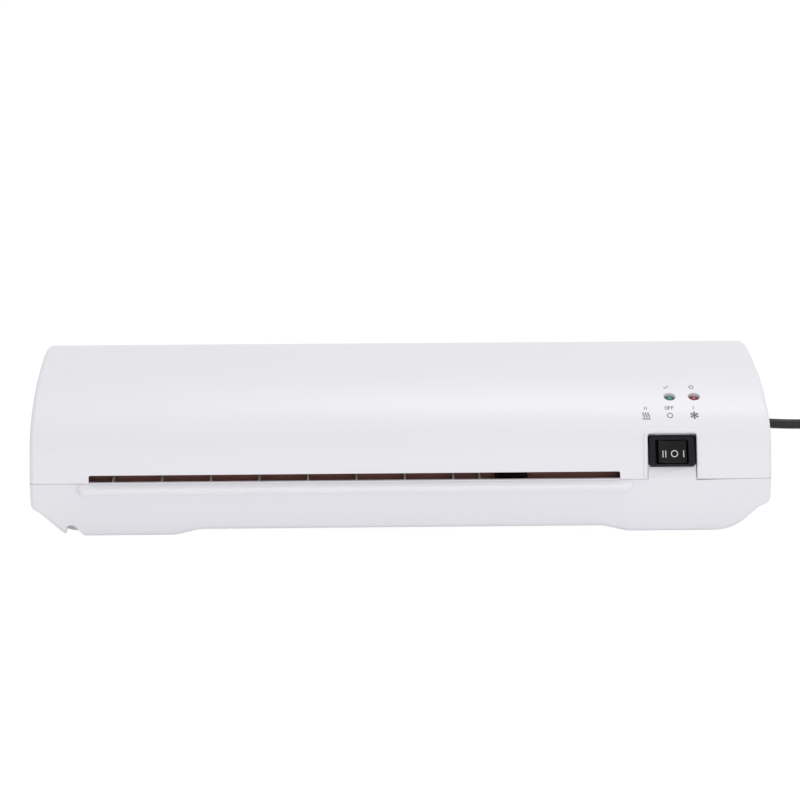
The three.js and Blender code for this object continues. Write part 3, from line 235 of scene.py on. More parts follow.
# Share of the length and of the size where the plug widens behind its neck
PLUG_SHOULDER = [(0.0, 0.42), (0.06, 0.6), (0.14, 0.8), (0.24, 0.94), (0.32, 0.98), (0.4, 1.0)]
COLLAR_COUNT = 5
COLLAR_START = 1.0
COLLAR_PITCH = 2.6
COLLAR_GROOVE = 0.82  # the neck between its collars, as a share of its diameter
GRIP_COUNT = 5
GRIP_WIDTH = 1.4
GRIP_PITCH = 2.4
GRIP_REACH = 5.3
PIN_LENGTH = 17.0
PIN_SIZE = (1.5, 6.3)
PIN_SPACING = 12.7
PIN_TAPER = 2.2
PIN_HOLE = 3.0
PIN_HOLE_INSET = 5.0


# Outlines, in flat coordinates

def heading(angle):
    return Vector((math.cos(math.radians(angle)), math.sin(math.radians(angle))))


def inward(angle):
    return Vector((math.sin(math.radians(angle)), -math.cos(math.radians(angle))))


def cross(first, second):
    return first.x * second.y - first.y * second.x


def rounded(corners):
    """Rounds each corner (x, y, radius); a corner with no radius stays sharp."""
    points = []
    for i, (x, y, radius) in enumerate(corners):
        corner = Vector((x, y))
        if radius is None:
            points.append(corner)
            continue
        before = Vector(corners[i - 1][:2]) - corner
        after = Vector(corners[(i + 1) % len(corners)][:2]) - corner
        room = min(before.length, after.length) / 2
        before.normalize()
        after.normalize()
        half = math.acos(max(-1.0, min(1.0, before.dot(after)))) / 2
        setback = min(max(radius, 0.02) / math.tan(half), room)
        used = setback * math.tan(half)
        centre = corner + (before + after).normalized() * (used / math.sin(half))
        start = corner + before * setback - centre
        end = corner + after * setback - centre
        turn = math.atan2(cross(start, end), start.dot(end))
        steps = max(2, math.ceil(abs(math.degrees(turn)) / ARC_STEP))
        for k in range(steps + 1):
            points.append(centre + Matrix.Rotation(turn * k / steps, 2) @ start)
    return points


def inset_corners(corners, inset):
    """Moves every edge of an anticlockwise corner list inwards."""
    edges = []
    for i, (x, y, _) in enumerate(corners):
        ahead = Vector(corners[(i + 1) % len(corners)][:2]) - Vector((x, y))
        ahead.normalize()
        edges.append((Vector((x, y)) + Vector((-ahead.y, ahead.x)) * inset, ahead))
    moved = []
    for i, (_, _, radius) in enumerate(corners):
        (before, along), (after, ahead) = edges[i - 1], edges[i]
        turn = cross(along, ahead)
        place = before + along * (cross(after - before, ahead) / turn)
        kept = None if radius is None else radius - math.copysign(inset, turn)
        moved.append((place.x, place.y, kept))
    return moved


def rectangle(width, height, radius=None, x=0.0, y=0.0):
    across, up = width / 2, height / 2
    corners = [(-across, -up), (across, -up), (across, up), (-across, up)]
    return rounded([(x + a, y + b, radius) for a, b in corners])


def circle(diameter, sides=48, x=0.0, y=0.0):
    return [Vector((x, y)) + heading(360 * k / sides) * diameter / 2 for k in range(sides)]


def arch(left, right, top, radius):
    """An opening that stands on the ground line, with rounded upper corners."""
    return rounded([(left, 0, None), (right, 0, None), (right, top, radius), (left, top, radius)])


def cover_arcs(inset):
    at = inward(FRONT_FACE_ANGLE) * inset + heading(FRONT_FACE_ANGLE) * FRONT_FACE_LENGTH
    angle = FRONT_FACE_ANGLE
    arcs = []
    for outer_radius, end_angle, steps in COVER_BENDS:
        radius = outer_radius - inset
        centre = at + inward(angle) * radius
        arcs.append((centre, radius, angle, end_angle, steps))
        at = centre - inward(end_angle) * radius
        angle = end_angle
    return arcs, at


def cover_section(inset, bottom):
    """Side view of the cover, depth and height above the seam, both faces carried down to a height."""
    arcs, end = cover_arcs(inset)
    start = inward(FRONT_FACE_ANGLE) * inset
    reach = (bottom - start.y) / math.sin(math.radians(FRONT_FACE_ANGLE))
    points = [start + heading(FRONT_FACE_ANGLE) * reach]
    for centre, radius, angle, end_angle, steps in arcs:
        for k in range(steps):
            points.append(centre - inward(angle + (end_angle - angle) * k / steps) * radius)
    reach = (bottom - end.y) / math.sin(math.radians(REAR_FACE_ANGLE))
    return points + [end, end + heading(REAR_FACE_ANGLE) * reach]


BODY_DEPTH = cover_section(0.0, 0.0)[-1].x
FRONT_Y = (LIP_REACH - BODY_DEPTH) / 2
REAR_Y = FRONT_Y + BODY_DEPTH


def roof_at(depth):
    """Height above the seam and slope in radians of the cover's outer surface at a depth."""
    straight = FRONT_FACE_LENGTH * math.cos(math.radians(FRONT_FACE_ANGLE))
    if depth < straight:
        slope = math.radians(FRONT_FACE_ANGLE)
        return depth * math.tan(slope), slope
    for centre, radius, _, end_angle, _ in cover_arcs(0.0)[0]:
        if depth <= centre.x - radius * math.sin(math.radians(end_angle)):
            slope = math.asin((centre.x - depth) / radius)
            return centre.y + radius * math.cos(slope), slope
    raise ValueError("the depth lies behind the roof")


def front_at(height):
    """Depth and slope of the cover's outer surface at a height above the seam, up to the shoulder."""
    centre, radius, start_angle, _, _ = cover_arcs(0.0)[0][0]
    straight = FRONT_FACE_LENGTH * math.sin(math.radians(FRONT_FACE_ANGLE))
    if height <= straight:
        return height / math.tan(math.radians(FRONT_FACE_ANGLE)), math.radians(start_angle)
    slope = math.acos((height - centre.y) / radius)
    return centre.x - radius * math.sin(slope), slope


def shell_point(x, depth, height):
    """A point from its depth behind the front face and its height above the seam."""
    return Vector((x, FRONT_Y + depth, SEAM_HEIGHT + height))


def face_normal(slope):
    return Vector((0, -math.sin(slope), math.cos(slope)))


def sloped(x, depth, height, slope):
    """A frame on the cover's or the tab's outer face, its Y running up the slope."""
    return Matrix.Translation(shell_point(x, depth, height)) @ Matrix.Rotation(slope, 4, "X")


# Views and frames that flat drawings are placed in
PLAN = Matrix.Identity(4)
SIDE_VIEW = Matrix(((0, 0, 1, 0), (1, 0, 0, 0), (0, 1, 0, 0), (0, 0, 0, 1)))
FRONT_VIEW = Matrix(((1, 0, 0, 0), (0, 0, 1, 0), (0, 1, 0, 0), (0, 0, 0, 1)))
TAB_FRAME = sloped(SWITCH_X, 0.0, 0.0, math.radians(TAB_ANGLE))
SWITCH_FRAME = TAB_FRAME @ Matrix.Translation((0, BEZEL_ALONG, 0))
WELL_FRAME = SWITCH_FRAME @ Matrix.Translation((0, -WELL_DROP, 0))
LIGHT_FRAME = sloped(LIGHTS_X, LIGHT_DEPTH, *roof_at(LIGHT_DEPTH))


# Making pieces

def made(name, vertices, faces):
    mesh = bpy.data.meshes.new(name)
    mesh.from_pydata([tuple(v) for v in vertices], [], faces)
    piece = bpy.data.objects.new(name, mesh)
    bpy.context.scene.collection.objects.link(piece)
    return piece


def reworked(piece, work):
    """Runs bmesh work on a piece's mesh."""
    shape = bmesh.new()
    shape.from_mesh(piece.data)
    work(shape)
    shape.to_mesh(piece.data)
    shape.free()
    return piece


def outward(piece):
    return reworked(piece, lambda shape: bmesh.ops.recalc_face_normals(shape, faces=shape.faces))


def loft(name, rings, endless=False):
    """Joins rings of as many points each; the ends are capped unless the last ring meets the first."""
    count = len(rings[0])
    vertices = [point for ring in rings for point in ring]
    faces = []
    spans = len(rings) if endless else len(rings) - 1
    for i in range(spans):
        low, high = i * count, (i + 1) % len(rings) * count
        for k in range(count):
            after = (k + 1) % count
            faces.append((low + k, low + after, high + after, high + k))
    if not endless:
        last = (len(rings) - 1) * count
        faces.append(tuple(reversed(range(count))))
        faces.append(tuple(range(last, last + count)))
    return outward(made(name, vertices, faces))


def ring_of(outline, height=0.0, view=PLAN):
    """A flat outline set in space at a height over a view's ground."""
    return [view @ Vector((x, y, height)) for x, y in outline]


def prism(name, outline, low, high, view=PLAN):
    return loft(name, [ring_of(outline, height, view) for height in (low, high)])


def turned(name, profile, view, sides=48):
    """A turned piece about a view's Z; its (radius, height) pairs end on the axis or where they start."""
    rings = [ring_of(circle(radius * 2, sides), height, view) for radius, height in profile]
    return merged(loft(name, rings, endless=profile[0] == profile[-1]))


def merged(piece, gap=0.0005):
    def weld(shape):
        bmesh.ops.remove_doubles(shape, verts=shape.verts, dist=gap)
        bmesh.ops.dissolve_degenerate(shape, edges=shape.edges, dist=gap)
        bmesh.ops.recalc_face_normals(shape, faces=shape.faces)

    return reworked(piece, weld)


def settled(piece):
    """Turns a piece and its modifiers into a plain mesh."""
    bpy.context.view_layer.update()
    depsgraph = bpy.context.evaluated_depsgraph_get()
    mesh = bpy.data.meshes.new_from_object(piece.evaluated_get(depsgraph))
    piece.modifiers.clear()
    piece.data = mesh
    mesh.name = piece.name
    return piece


def trimmed(piece, tools, operation="DIFFERENCE"):
    for tool in tools:
        step = piece.modifiers.new("trim", "BOOLEAN")
        step.operation = operation
        step.solver = "EXACT"
        step.object = tool
    settled(piece)
    for tool in tools:
        bpy.data.objects.remove(tool)
    return piece


def joined(name, pieces):
    vertices = []
    faces = []
    for piece in pieces:
        first = len(vertices)
        vertices += [v.co.copy() for v in piece.data.vertices]
        faces += [tuple(first + i for i in face.vertices) for face in piece.data.polygons]
        bpy.data.objects.remove(piece)
    return made(name, vertices, faces)


def softened(piece, width, least_angle=28.0, segments=2):
    """Rounds the edges sharper than an angle and shades the piece smooth."""
    merged(piece)
    bevel = piece.modifiers.new("soft edges", "BEVEL")
    bevel.width = width
    bevel.segments = segments
    bevel.limit_method = "ANGLE"
    bevel.angle_limit = math.radians(least_angle)
    bevel.miter_outer = "MITER_ARC"
    settled(piece)
    return smooth(piece)


def smooth(piece, sharp_angle=32.0):
    piece.data.shade_smooth()
    piece.data.set_sharp_from_angle(angle=math.radians(sharp_angle))
    even = piece.modifiers.new("even shading", "WEIGHTED_NORMAL")
    even.keep_sharp = True
    return settled(piece)


def finished(piece, finish, body="chassis", stands_for=(), name=None):
    """Scales a piece to metres, gives it its name and finish and sets it on its body."""
    if name:
        piece.name = name
    piece.data.transform(Matrix.Scale(METRE, 4))
    piece.data.materials.clear()
    piece.data.materials.append(finish.material)
    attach(piece, body)
    if stands_for:
        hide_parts(*stands_for)
    return piece


# Finishes

class Amount:
    """A shader socket that holds a number; sums on it add Math nodes."""

    def __init__(self, wiring, socket):
        self.wiring = wiring
        self.socket = socket

    def math(self, operation, first, second):
        node = self.wiring.node("ShaderNodeMath", {"operation": operation}, {0: first, 1: second})
        return Amount(self.wiring, node.outputs[0])

    def __add__(self, other):
        return self.math("ADD", self, other)

    __radd__ = __add__

    def __sub__(self, other):
        return self.math("SUBTRACT", self, other)

    def __rsub__(self, other):
        return self.math("SUBTRACT", other, self)

    def __mul__(self, other):
        return self.math("MULTIPLY", self, other)

    __rmul__ = __mul__


def linear(red, green, blue):
    """A colour as a screen shows it, 0 to 255, as the shader takes it."""
    shades = [value / 255 for value in (red, green, blue)]
    shades = [s / 12.92 if s < 0.04045 else ((s + 0.055) / 1.055) ** 2.4 for s in shades]
    return (*shades, 1.0)


class Wiring:
    """An emptied node tree, with the one method that adds its nodes."""

    def __init__(self, tree):
        self.tree = tree
        tree.nodes.clear()

    def node(self, kind, settings=None, sockets=None):
        node = self.tree.nodes.new(kind)
        for name, value in (settings or {}).items():
            setattr(node, name, value)
        for name, value in (sockets or {}).items():
            self.put(node.inputs[name], value)
        return node

    def put(self, socket, value):
        if isinstance(value, Amount):
            value = value.socket
        if isinstance(value, bpy.types.NodeSocket):
            self.tree.links.new(value, socket)
        else:
            socket.default_value = value

    def mixed(self, share, first, second):
        return self.node("ShaderNodeMixShader", {}, {0: share, 1: first, 2: second}).outputs[0]

    def seen_directly(self):
        """1 for rays that a viewer, a gloss or a clear piece sends, and 0 for the light that falls."""
        rays = self.node("ShaderNodeLightPath")
        total = Amount(self, rays.outputs["Is Camera Ray"])
        for name in ("Is Glossy Ray", "Is Transmission Ray"):
            total = total.math("MAXIMUM", total, rays.outputs[name])
        return total


class Finish(Wiring):
    """A material on a Principled shader, with the slot of the record that it belongs to."""

    def __init__(self, name, slot, **settings):
        self.slot = slot
        self.material = bpy.data.materials.new(name)
        self.material.use_nodes = True
        super().__init__(self.material.node_tree)
        self.shader = self.node("ShaderNodeBsdfPrincipled", {}, settings)
        self.node("ShaderNodeOutputMaterial", {}, {"Surface": self.shader.outputs[0]})

    def place(self, stretch=(1.0, 1.0, 1.0)):
        """Object coordinates in metres, squeezed along an axis where a pattern runs that way."""
        source = self.node("ShaderNodeTexCoord").outputs["Object"]
        return self.node("ShaderNodeMapping", {}, {"Vector": source, "Scale": stretch}).outputs[0]

    def noise(self, size, detail=2.0, stretch=(1.0, 1.0, 1.0)):
        """Noise from 0 to 1 whose blots are about a size across, in millimetres."""
        sockets = {"Vector": self.place(stretch), "Scale": 1 / (size * METRE), "Detail": detail}
        return Amount(self, self.node("ShaderNodeTexNoise", {}, sockets).outputs["Fac"])

    def pits(self, size):
        """Distance to the nearest of scattered points a size apart, in millimetres."""
        sockets = {"Vector": self.place(), "Scale": 1 / (size * METRE)}
        return Amount(self, self.node("ShaderNodeTexVoronoi", {}, sockets).outputs["Distance"])

    def dressed(self, share, first, second, roughness, height=None, depth=0.0):
        """A colour between two, a roughness, and bump from a height of 0 to 1 for a depth in millimetres."""
        colour = self.node("ShaderNodeMix", {"data_type": "RGBA"}, {0: share, 6: first, 7: second})
        self.put(self.shader.inputs["Base Color"], colour.outputs[2])
        self.put(self.shader.inputs["Roughness"], roughness)
        if height is not None:
            sockets = {"Height": height, "Distance": depth * METRE, "Strength": 1.0}
            self.put(self.shader.inputs["Normal"], self.node("ShaderNodeBump", {}, sockets).outputs[0])
        return self


def shaded(colour, share, lift=0.0):
    return tuple(c * share + lift for c in colour[:3]) + (1.0,)


def moulded(name, slot, colour, roughness, grain=0.35, grain_depth=0.006, shift=0.03, **settings):
    """Moulded plastic: spark-eroded grain, faint flow clouds in its colour and sheen."""
    finish = Finish(name, slot, **settings)
    cloud = finish.noise(45.0)
    uneven = cloud * 0.06 + finish.noise(grain * 3) * 0.05 + (roughness - 0.05)
    darker = shaded(colour, 1 - shift)
    return finish.dressed(cloud, darker, colour, uneven, finish.noise(grain, 3.0), grain_depth)


def metal(name, slot, colour, roughness, stretch, streak=0.25, streak_depth=0.004):
    """Bright metal with streaks along the way it was drawn or ground."""
    finish = Finish(name, slot, Metallic=1.0)
    streaks = finish.noise(streak, 3.0, stretch)
    uneven = streaks * 0.16 + (roughness - 0.08)
    return finish.dressed(finish.noise(9.0), shaded(colour, 0.86), colour, uneven, streaks, streak_depth)


def rubber(name, slot, colour, roughness, grain=0.25, grain_depth=0.012):
    """Soft matt rubber or vinyl with a fine skin and slight dust."""
    finish = Finish(name, slot, **{"Specular IOR Level": 0.35})
    dust = finish.noise(14.0, 4.0)
    uneven = dust * 0.1 + (roughness - 0.05)
    dusty = shaded(colour, 1.35, 0.003)
    return finish.dressed(dust, colour, dusty, uneven, finish.noise(grain, 4.0), grain_depth)


def lens(name, slot, deep, bright):
    """Tinted epoxy of a lamp, brighter towards its middle layers."""
    finish = Finish(name, slot, **{"Coat Weight": 0.5, "Coat Roughness": 0.1})
    return finish.dressed(finish.noise(1.6), deep, bright, finish.noise(0.6) * 0.05 + 0.14)


def laminate():
    """Board resin: woven glass under a thin lacquer."""
    finish = Finish("board_laminate", "board", **{"Coat Weight": 0.25})
    weave = finish.noise(0.5, 1.0, (1.0, 0.15, 1.0)) * 0.5 + finish.noise(0.5, 1.0, (0.15, 1.0, 1.0)) * 0.5
    return finish.dressed(weave, linear(122, 98, 46), linear(176, 150, 92), weave * 0.15 + 0.42, weave, 0.01)


def sheet_mica():
    """Pressed mica: flakes from a pale to a darker olive grey."""
    finish = Finish("pressed_mica", "mica")
    flakes = finish.pits(2.2)
    pale, dark = linear(150, 142, 120), linear(110, 104, 88)
    return finish.dressed(flakes, pale, dark, flakes * 0.25 + 0.45, flakes, 0.03)


SHELL = moulded("shell_white", "shell", linear(236, 235, 240), 0.4, shift=0.012)
PALE = moulded("pale_moulding", "pale_plastic", linear(246, 238, 235), 0.5)
GEAR = moulded("natural_acetal", "gear_plastic", linear(232, 226, 208), 0.38, grain=0.8, grain_depth=0.003)
DEEP = {"Specular IOR Level": 0.16}
BLACK = moulded("black_moulding", "black_plastic", linear(24, 24, 27), 0.34, 0.3, 0.004, **DEEP)
ROCKER_BLACK = moulded("rocker_black", "black_plastic", linear(17, 17, 19), 0.3, 0.3, 0.003, **DEEP)
MARK = moulded("mark_white", "black_plastic", linear(222, 222, 220), 0.5, grain=0.1, grain_depth=0.001)
PRINT = moulded("print_grey", "shell", linear(104, 104, 110), 0.55, grain=0.1, grain_depth=0.001)
SILICONE = rubber("roller_silicone", "silicone", linear(168, 118, 110), 0.62)
VINYL = rubber("cord_vinyl", "black_rubber", linear(24, 24, 26), 0.5)
FOOT_RUBBER = rubber("foot_rubber", "grey_rubber", linear(104, 106, 110), 0.78)
STEEL = metal("ground_steel", "steel", linear(196, 198, 202), 0.3, (0.04, 1.0, 1.0))
ZINC = metal("zinc_plate", "zinc_steel", linear(176, 180, 184), 0.42, (1.0, 1.0, 0.3), streak=1.6)
ALUMINIUM = metal("milled_aluminium", "aluminium", linear(204, 206, 209), 0.38, (0.05, 1.0, 1.0))
BRASS = metal("bright_brass", "brass", linear(206, 178, 118), 0.28, (1.0, 0.08, 1.0))
MICA = sheet_mica()
BOARD = laminate()
GREEN_LENS = lens("green_lens", "green_lens", linear(26, 100, 84), linear(52, 146, 122))
RED_LENS = lens("red_lens", "red_lens", linear(116, 16, 44), linear(166, 36, 70))
FILM = moulded("capacitor_film", "capacitor_film", linear(206, 168, 46), 0.34, grain=0.6, grain_depth=0.002)
FINISHES = {
    finish.slot: finish
    for finish in (
        SHELL, PALE, GEAR, BLACK, SILICONE, STEEL, ZINC, ALUMINIUM, BRASS,
        MICA, BOARD, VINYL, FOOT_RUBBER, GREEN_LENS, RED_LENS, FILM,
    )
}


# A row of like pieces, made by Geometry Nodes

def row_tree():
    tree = bpy.data.node_groups.new("row_of_pieces", "GeometryNodeTree")
    kinds = {"Piece": "Object", "Count": "Int", "Start": "Vector", "Step": "Vector", "Finish": "Material"}
    for name, kind in kinds.items():
        tree.interface.new_socket(name, in_out="INPUT", socket_type="NodeSocket" + kind)
    tree.interface.new_socket("Row", in_out="OUTPUT", socket_type="NodeSocketGeometry")
    wiring = Wiring(tree)
    given = wiring.node("NodeGroupInput").outputs
    sockets = {"Count": given["Count"], "Start Location": given["Start"], "Offset": given["Step"]}
    points = wiring.node("GeometryNodeMeshLine", {"mode": "OFFSET"}, sockets).outputs["Mesh"]
    piece = wiring.node("GeometryNodeObjectInfo", {}, {"Object": given["Piece"]}).outputs["Geometry"]
    placed = wiring.node("GeometryNodeInstanceOnPoints", {}, {"Points": points, "Instance": piece})
    real = wiring.node("GeometryNodeRealizeInstances", {}, {"Geometry": placed.outputs["Instances"]})
    sockets = {"Geometry": real.outputs["Geometry"], "Material": given["Finish"]}
    dressed = wiring.node("GeometryNodeSetMaterial", {}, sockets)
    wiring.node("NodeGroupOutput", {}, {"Row": dressed.outputs["Geometry"]})
    return tree


ROW = row_tree()


def row(name, piece, count, start, step, finish):
    """A plain mesh of a piece repeated along a line; the piece is used up."""
    holder = made(name, [], [])
    modifier = holder.modifiers.new("row", "NODES")
    modifier.node_group = ROW
    values = {"Piece": piece, "Count": count, "Start": start, "Step": step, "Finish": finish.material}
    for item in ROW.interface.items_tree:
        if item.in_out == "INPUT":
            modifier[item.identifier] = values[item.name]
    settled(holder)
    bpy.data.objects.remove(piece)
    return holder


# Camera, fitted to the photograph's outlines
camera = bpy.data.objects.new("camera", bpy.data.cameras.new("camera"))
bpy.context.scene.collection.objects.link(camera)
bpy.context.scene.camera = camera
camera.data.lens = 107.95
camera.data.sensor_width = 36.0
camera.data.clip_start = 0.05
camera.data.clip_end = 50.0
camera.location = (-0.0280, -1.0779, 0.3794)
camera.rotation_euler = (math.radians(90 - 17.08), 0.0, math.radians(-1.512))


# Cord: a free stretch, a coil in two layers that lie on each other, and a straight tail into the plug

def smooth_route(points, steps):
    """Points on a centripetal spline through a list of points."""
    ends = [points[0] * 2 - points[1]] + points + [points[-1] * 2 - points[-2]]
    route = []
    for a, b, c, d in zip(ends, ends[1:], ends[2:], ends[3:]):
        pairs = ((a, b), (b, c), (c, d))
        knots = [0.0]
        for first, second in pairs:
            knots.append(knots[-1] + math.sqrt((second - first).length))
        for k in range(steps):
            at = knots[1] + (knots[2] - knots[1]) * k / steps
            near = [between(*pair, knots[i], knots[i + 1], at) for i, pair in enumerate(pairs)]
            wide = [between(near[i], near[i + 1], knots[i], knots[i + 2], at) for i in range(2)]
            route.append(between(*wide, knots[1], knots[2], at))
    return route + [points[-1]]


def between(first, second, low, high, at):
    return first.lerp(second, (at - low) / (high - low))


def coil_point(turn):
    half = COIL_TURNS / 2
    climb = min(max((turn - half) / COIL_CLIMB + 0.5, 0.0), 1.0)
    climb = climb * climb * (3 - 2 * climb)
    radius = COIL_INNER_RADIUS + COIL_PITCH * abs(half - turn)
    flat = COIL_MIDDLE.xy + heading(90 - 360 * turn) * radius
    return Vector((flat.x, flat.y, COIL_REST + COIL_PITCH * climb))


def tube(name, route, diameter, sides):
    rings = []
    for i, point in enumerate(route):
        along = (route[min(i + 1, len(route) - 1)] - route[max(i - 1, 0)]).normalized()
        aside = along.cross(Vector((0, 0, 1))).normalized()
        above = aside.cross(along)
        rings.append([point + aside * x + above * y for x, y in circle(diameter, sides)])
    return smooth(loft(name, rings))


COIL_MIDDLE = Vector((
    RELIEF_X + COIL_OFFSET,
    REAR_Y + COIL_APPROACH - COIL_INNER_RADIUS - COIL_PITCH * COIL_TURNS / 2,
    0.0,
))
stretch_route = smooth_route([Vector((RELIEF_X + x, REAR_Y + y, z)) for x, y, z in CORD_POINTS], CORD_STEPS)
coil_count = round(COIL_TURNS * COIL_STEPS)
coil_route = [coil_point(COIL_TURNS * i / coil_count) for i in range(coil_count + 1)]
coil_heading = Vector((*heading(-360 * COIL_TURNS), 0.0))
cord_end = coil_route[-1] + coil_heading * COIL_TAIL
cord_route = stretch_route + coil_route + [cord_end]
cord_length = sum((b - a).length for a, b in zip(cord_route, cord_route[1:]))

PLUG_START = cord_end + coil_heading * CLEARANCE
PLUG_FRAME = Matrix.Translation(PLUG_START) @ Matrix.Rotation(math.radians(-90), 4, "Z") @ SIDE_VIEW


def plug_body():
    """Rounded rectangles across the plug's axis: place along it, width, height and corner."""
    width, height = PLUG_SIZE
    neck = PLUG_NECK_DIAMETER
    waist = neck * COLLAR_GROOVE
    collar = [(0.0, waist, 0.4), (0.4, neck, 0.49), (1.6, neck, 0.49), (2.0, waist, 0.4)]
    stations = [(0.0, waist, waist, neck * 0.4)]
    for k in range(COLLAR_COUNT):
        start = COLLAR_START + k * COLLAR_PITCH
        stations += [(start + along, size, size, neck * corner) for along, size, corner in collar]
    for share, size_share in PLUG_SHOULDER:
        corner = 3.0 + share * 4
        along = PLUG_NECK + PLUG_LENGTH * share
        stations.append((along, width * size_share, height * max(size_share, 0.5), corner))
    front = PLUG_NECK + PLUG_LENGTH
    stations += [
        (PLUG_NECK + PLUG_LENGTH * PLUG_WAIST, width * 0.93, height, 4.0),
        (PLUG_NECK + PLUG_LENGTH * 0.86, width * 0.97, height, 3.4),
        (front - 1.2, width, height, 3.0),
        (front - 0.3, width - 0.5, height - 0.5, 3.0),
        (front, width - 1.8, height - 1.8, 2.6),
    ]
    rings = [ring_of(rectangle(*size), along, PLUG_FRAME) for along, *size in stations]
    return smooth(loft("plug_shell", rings), 45.0)


def grip_row(name, side):
    """Upright bars on one flank of the plug's waist."""
    width, height = PLUG_SIZE
    bar = prism("grip_bar", rectangle(GRIP_WIDTH, height * 0.6, 0.6), 0.0, 1.0)
    turn = PLUG_FRAME.to_3x3()
    bar.data.transform(turn.to_4x4())
    start = PLUG_NECK + PLUG_LENGTH * PLUG_WAIST - GRIP_REACH
    first = PLUG_FRAME @ Vector((side * (width * 0.465 - 0.3), 0.0, start))
    step = turn @ Vector((0.0, 0.0, GRIP_PITCH))
    return softened(row(name, bar, GRIP_COUNT, first, step, VINYL), 0.15)


def plug_pin(side):
    start = PLUG_NECK + PLUG_LENGTH + CLEARANCE
    thickness, width = PIN_SIZE
    rings = []
    for along, share in ((0.0, 1.0), (PIN_LENGTH - PIN_TAPER, 1.0), (PIN_LENGTH, 0.55)):
        outline = rectangle(thickness * share, width * share, 0.3, x=side * PIN_SPACING / 2)
        rings.append(ring_of(outline, start + along, PLUG_FRAME))
    hole = prism("hole", circle(PIN_HOLE, 24), -BODY_WIDTH, BODY_WIDTH, SIDE_VIEW)
    to_hole = coil_heading * (start + PIN_LENGTH - PIN_HOLE_INSET)
    hole.data.transform(Matrix.Translation(PLUG_START + to_hole))
    return softened(trimmed(loft("pin", rings), [hole]), 0.15)


def tie_band():
    """A band round all the turns, as wide and high as the cords that pass through it."""
    out = Vector((*heading(TIE_ANGLE), 0.0))
    passing = [point - COIL_MIDDLE for point in coil_route]
    passing = [p for p in passing if p.dot(out) > 0 and abs(p.cross(out).z) < TIE_WIDTH]
    reaches = [p.dot(out) for p in passing]
    heights = [p.z for p in passing]
    width = max(reaches) - min(reaches) + CORD_DIAMETER + TIE_GAP * 2
    height = max(heights) - min(heights) + CORD_DIAMETER + CLEARANCE * 2
    centre = COIL_MIDDLE + out * (max(reaches) + min(reaches)) / 2
    centre.z = (max(heights) + min(heights)) / 2
    upright = Vector((0, 0, 1))
    along = out.cross(upright)
    rings = []
    for grow, shift in ((0.0, -1.0), (TIE_THICKNESS, -0.8), (TIE_THICKNESS, 0.8), (0.0, 1.0)):
        outline = rectangle(width + grow * 2, height + grow * 2, TIE_CORNER + grow)
        aside = along * shift * TIE_WIDTH / 2
        rings.append([centre + out * x + upright * y + aside for x, y in outline])
    return smooth(loft("tie", rings, endless=True), 40.0)


plug = finished(plug_body(), VINYL, stands_for=["plug_body"])
for grip_name, side in (("plug_grip_left", 1), ("plug_grip_right", -1)):
    finished(grip_row(grip_name, side), VINYL)
for pin_name, side in (("plug_pin_left", 1), ("plug_pin_right", -1)):
    finished(plug_pin(side), BRASS, stands_for=[pin_name], name=pin_name + "_blade")
tie = finished(tie_band(), BLACK, stands_for=["cord_tie"])
cord = tube("mains_cord", cord_route, CORD_DIAMETER, CORD_SIDES)
finished(cord, VINYL, stands_for=["power_cord", "cord_coil"])
cord_route[0] * METRE
[point * METRE for point in cord_route]


# Shells

def rounded_ends(half, radius):
    """Places along a piece from one end to the other, and how far its outline is drawn in there."""
    if radius <= 0:
        return [(-half, 0.0), (half, 0.0)]
    end = []
    for k in range(EDGE_STEPS + 1):
        turn = math.radians(90 * k / EDGE_STEPS)
        end.append((half - radius + radius * math.cos(turn), radius * (1 - math.sin(turn))))
    return [(-place, dent) for place, dent in end] + [(place, dent) for place, dent in reversed(end)]


def cover_form(name, inset, bottom):
    half = BODY_END - inset
    rings = []
    for x, dent in rounded_ends(half, max(EDGE_RADIUS - inset, 0.0)):
        ring = []
        for depth, height in cover_section(inset + dent, bottom):
            lean = END_DRAFT_SHARE * height / half
            ring.append(shell_point(x * (1 - lean), depth, height))
        rings.append(ring)
    return loft(name, rings)


def bead():
    """The soft raised edge round the switch's opening."""
    half = (RECESS_WIDTH + BEAD_WIDTH) / 2
    top = RECESS_TOP + BEAD_WIDTH / 2
    corner = RECESS_CORNER + BEAD_WIDTH / 2
    rise_steps, corner_steps = 12, 8
    outline = [Vector((half, SEAM_GAP + (top - corner) * k / rise_steps)) for k in range(rise_steps)]
    for k in range(corner_steps + 1):
        outline.append(Vector((half - corner, top - corner)) + heading(90 * k / corner_steps) * corner)
    outline += [Vector((-x, y)) for x, y in reversed(outline)]
    centres = []
    for x, height in outline:
        depth, slope = front_at(height)
        centres.append((shell_point(SWITCH_X + x, depth, height), face_normal(slope)))
    rings = []
    for i, (centre, normal) in enumerate(centres):
        ahead = centres[min(i + 1, len(centres) - 1)][0] - centres[max(i - 1, 0)][0]
        aside = ahead.cross(normal).normalized()
        ring = []
        for turn in circle(2.0, 16):
            rise = turn.y * (BEAD_RISE if turn.y > 0 else BEAD_SINK)
            ring.append(centre + aside * turn.x * BEAD_WIDTH / 2 + normal * rise)
        rings.append(ring)
    return loft("bead", rings)


def vent_row(centre):
    outline = rectangle(VENT_WIDTH, VENT_HEIGHT, VENT_WIDTH * 0.49)
    cutter = prism("vent", outline, REAR_Y - OVERRUN * 2, REAR_Y + OVERRUN, FRONT_VIEW)
    start = (centre - VENT_PITCH * (VENTS_PER_GROUP - 1) / 2, 0, SEAM_HEIGHT + VENT_RISE)
    return row("vents", cutter, VENTS_PER_GROUP, start, (VENT_PITCH, 0, 0), SHELL)


def slot_cutter(height, from_y, to_y):
    outline = arch(SLOT_LEFT, SLOT_RIGHT, SEAM_HEIGHT + height, SLOT_CORNER)
    return prism("slot", outline, from_y, to_y, FRONT_VIEW)


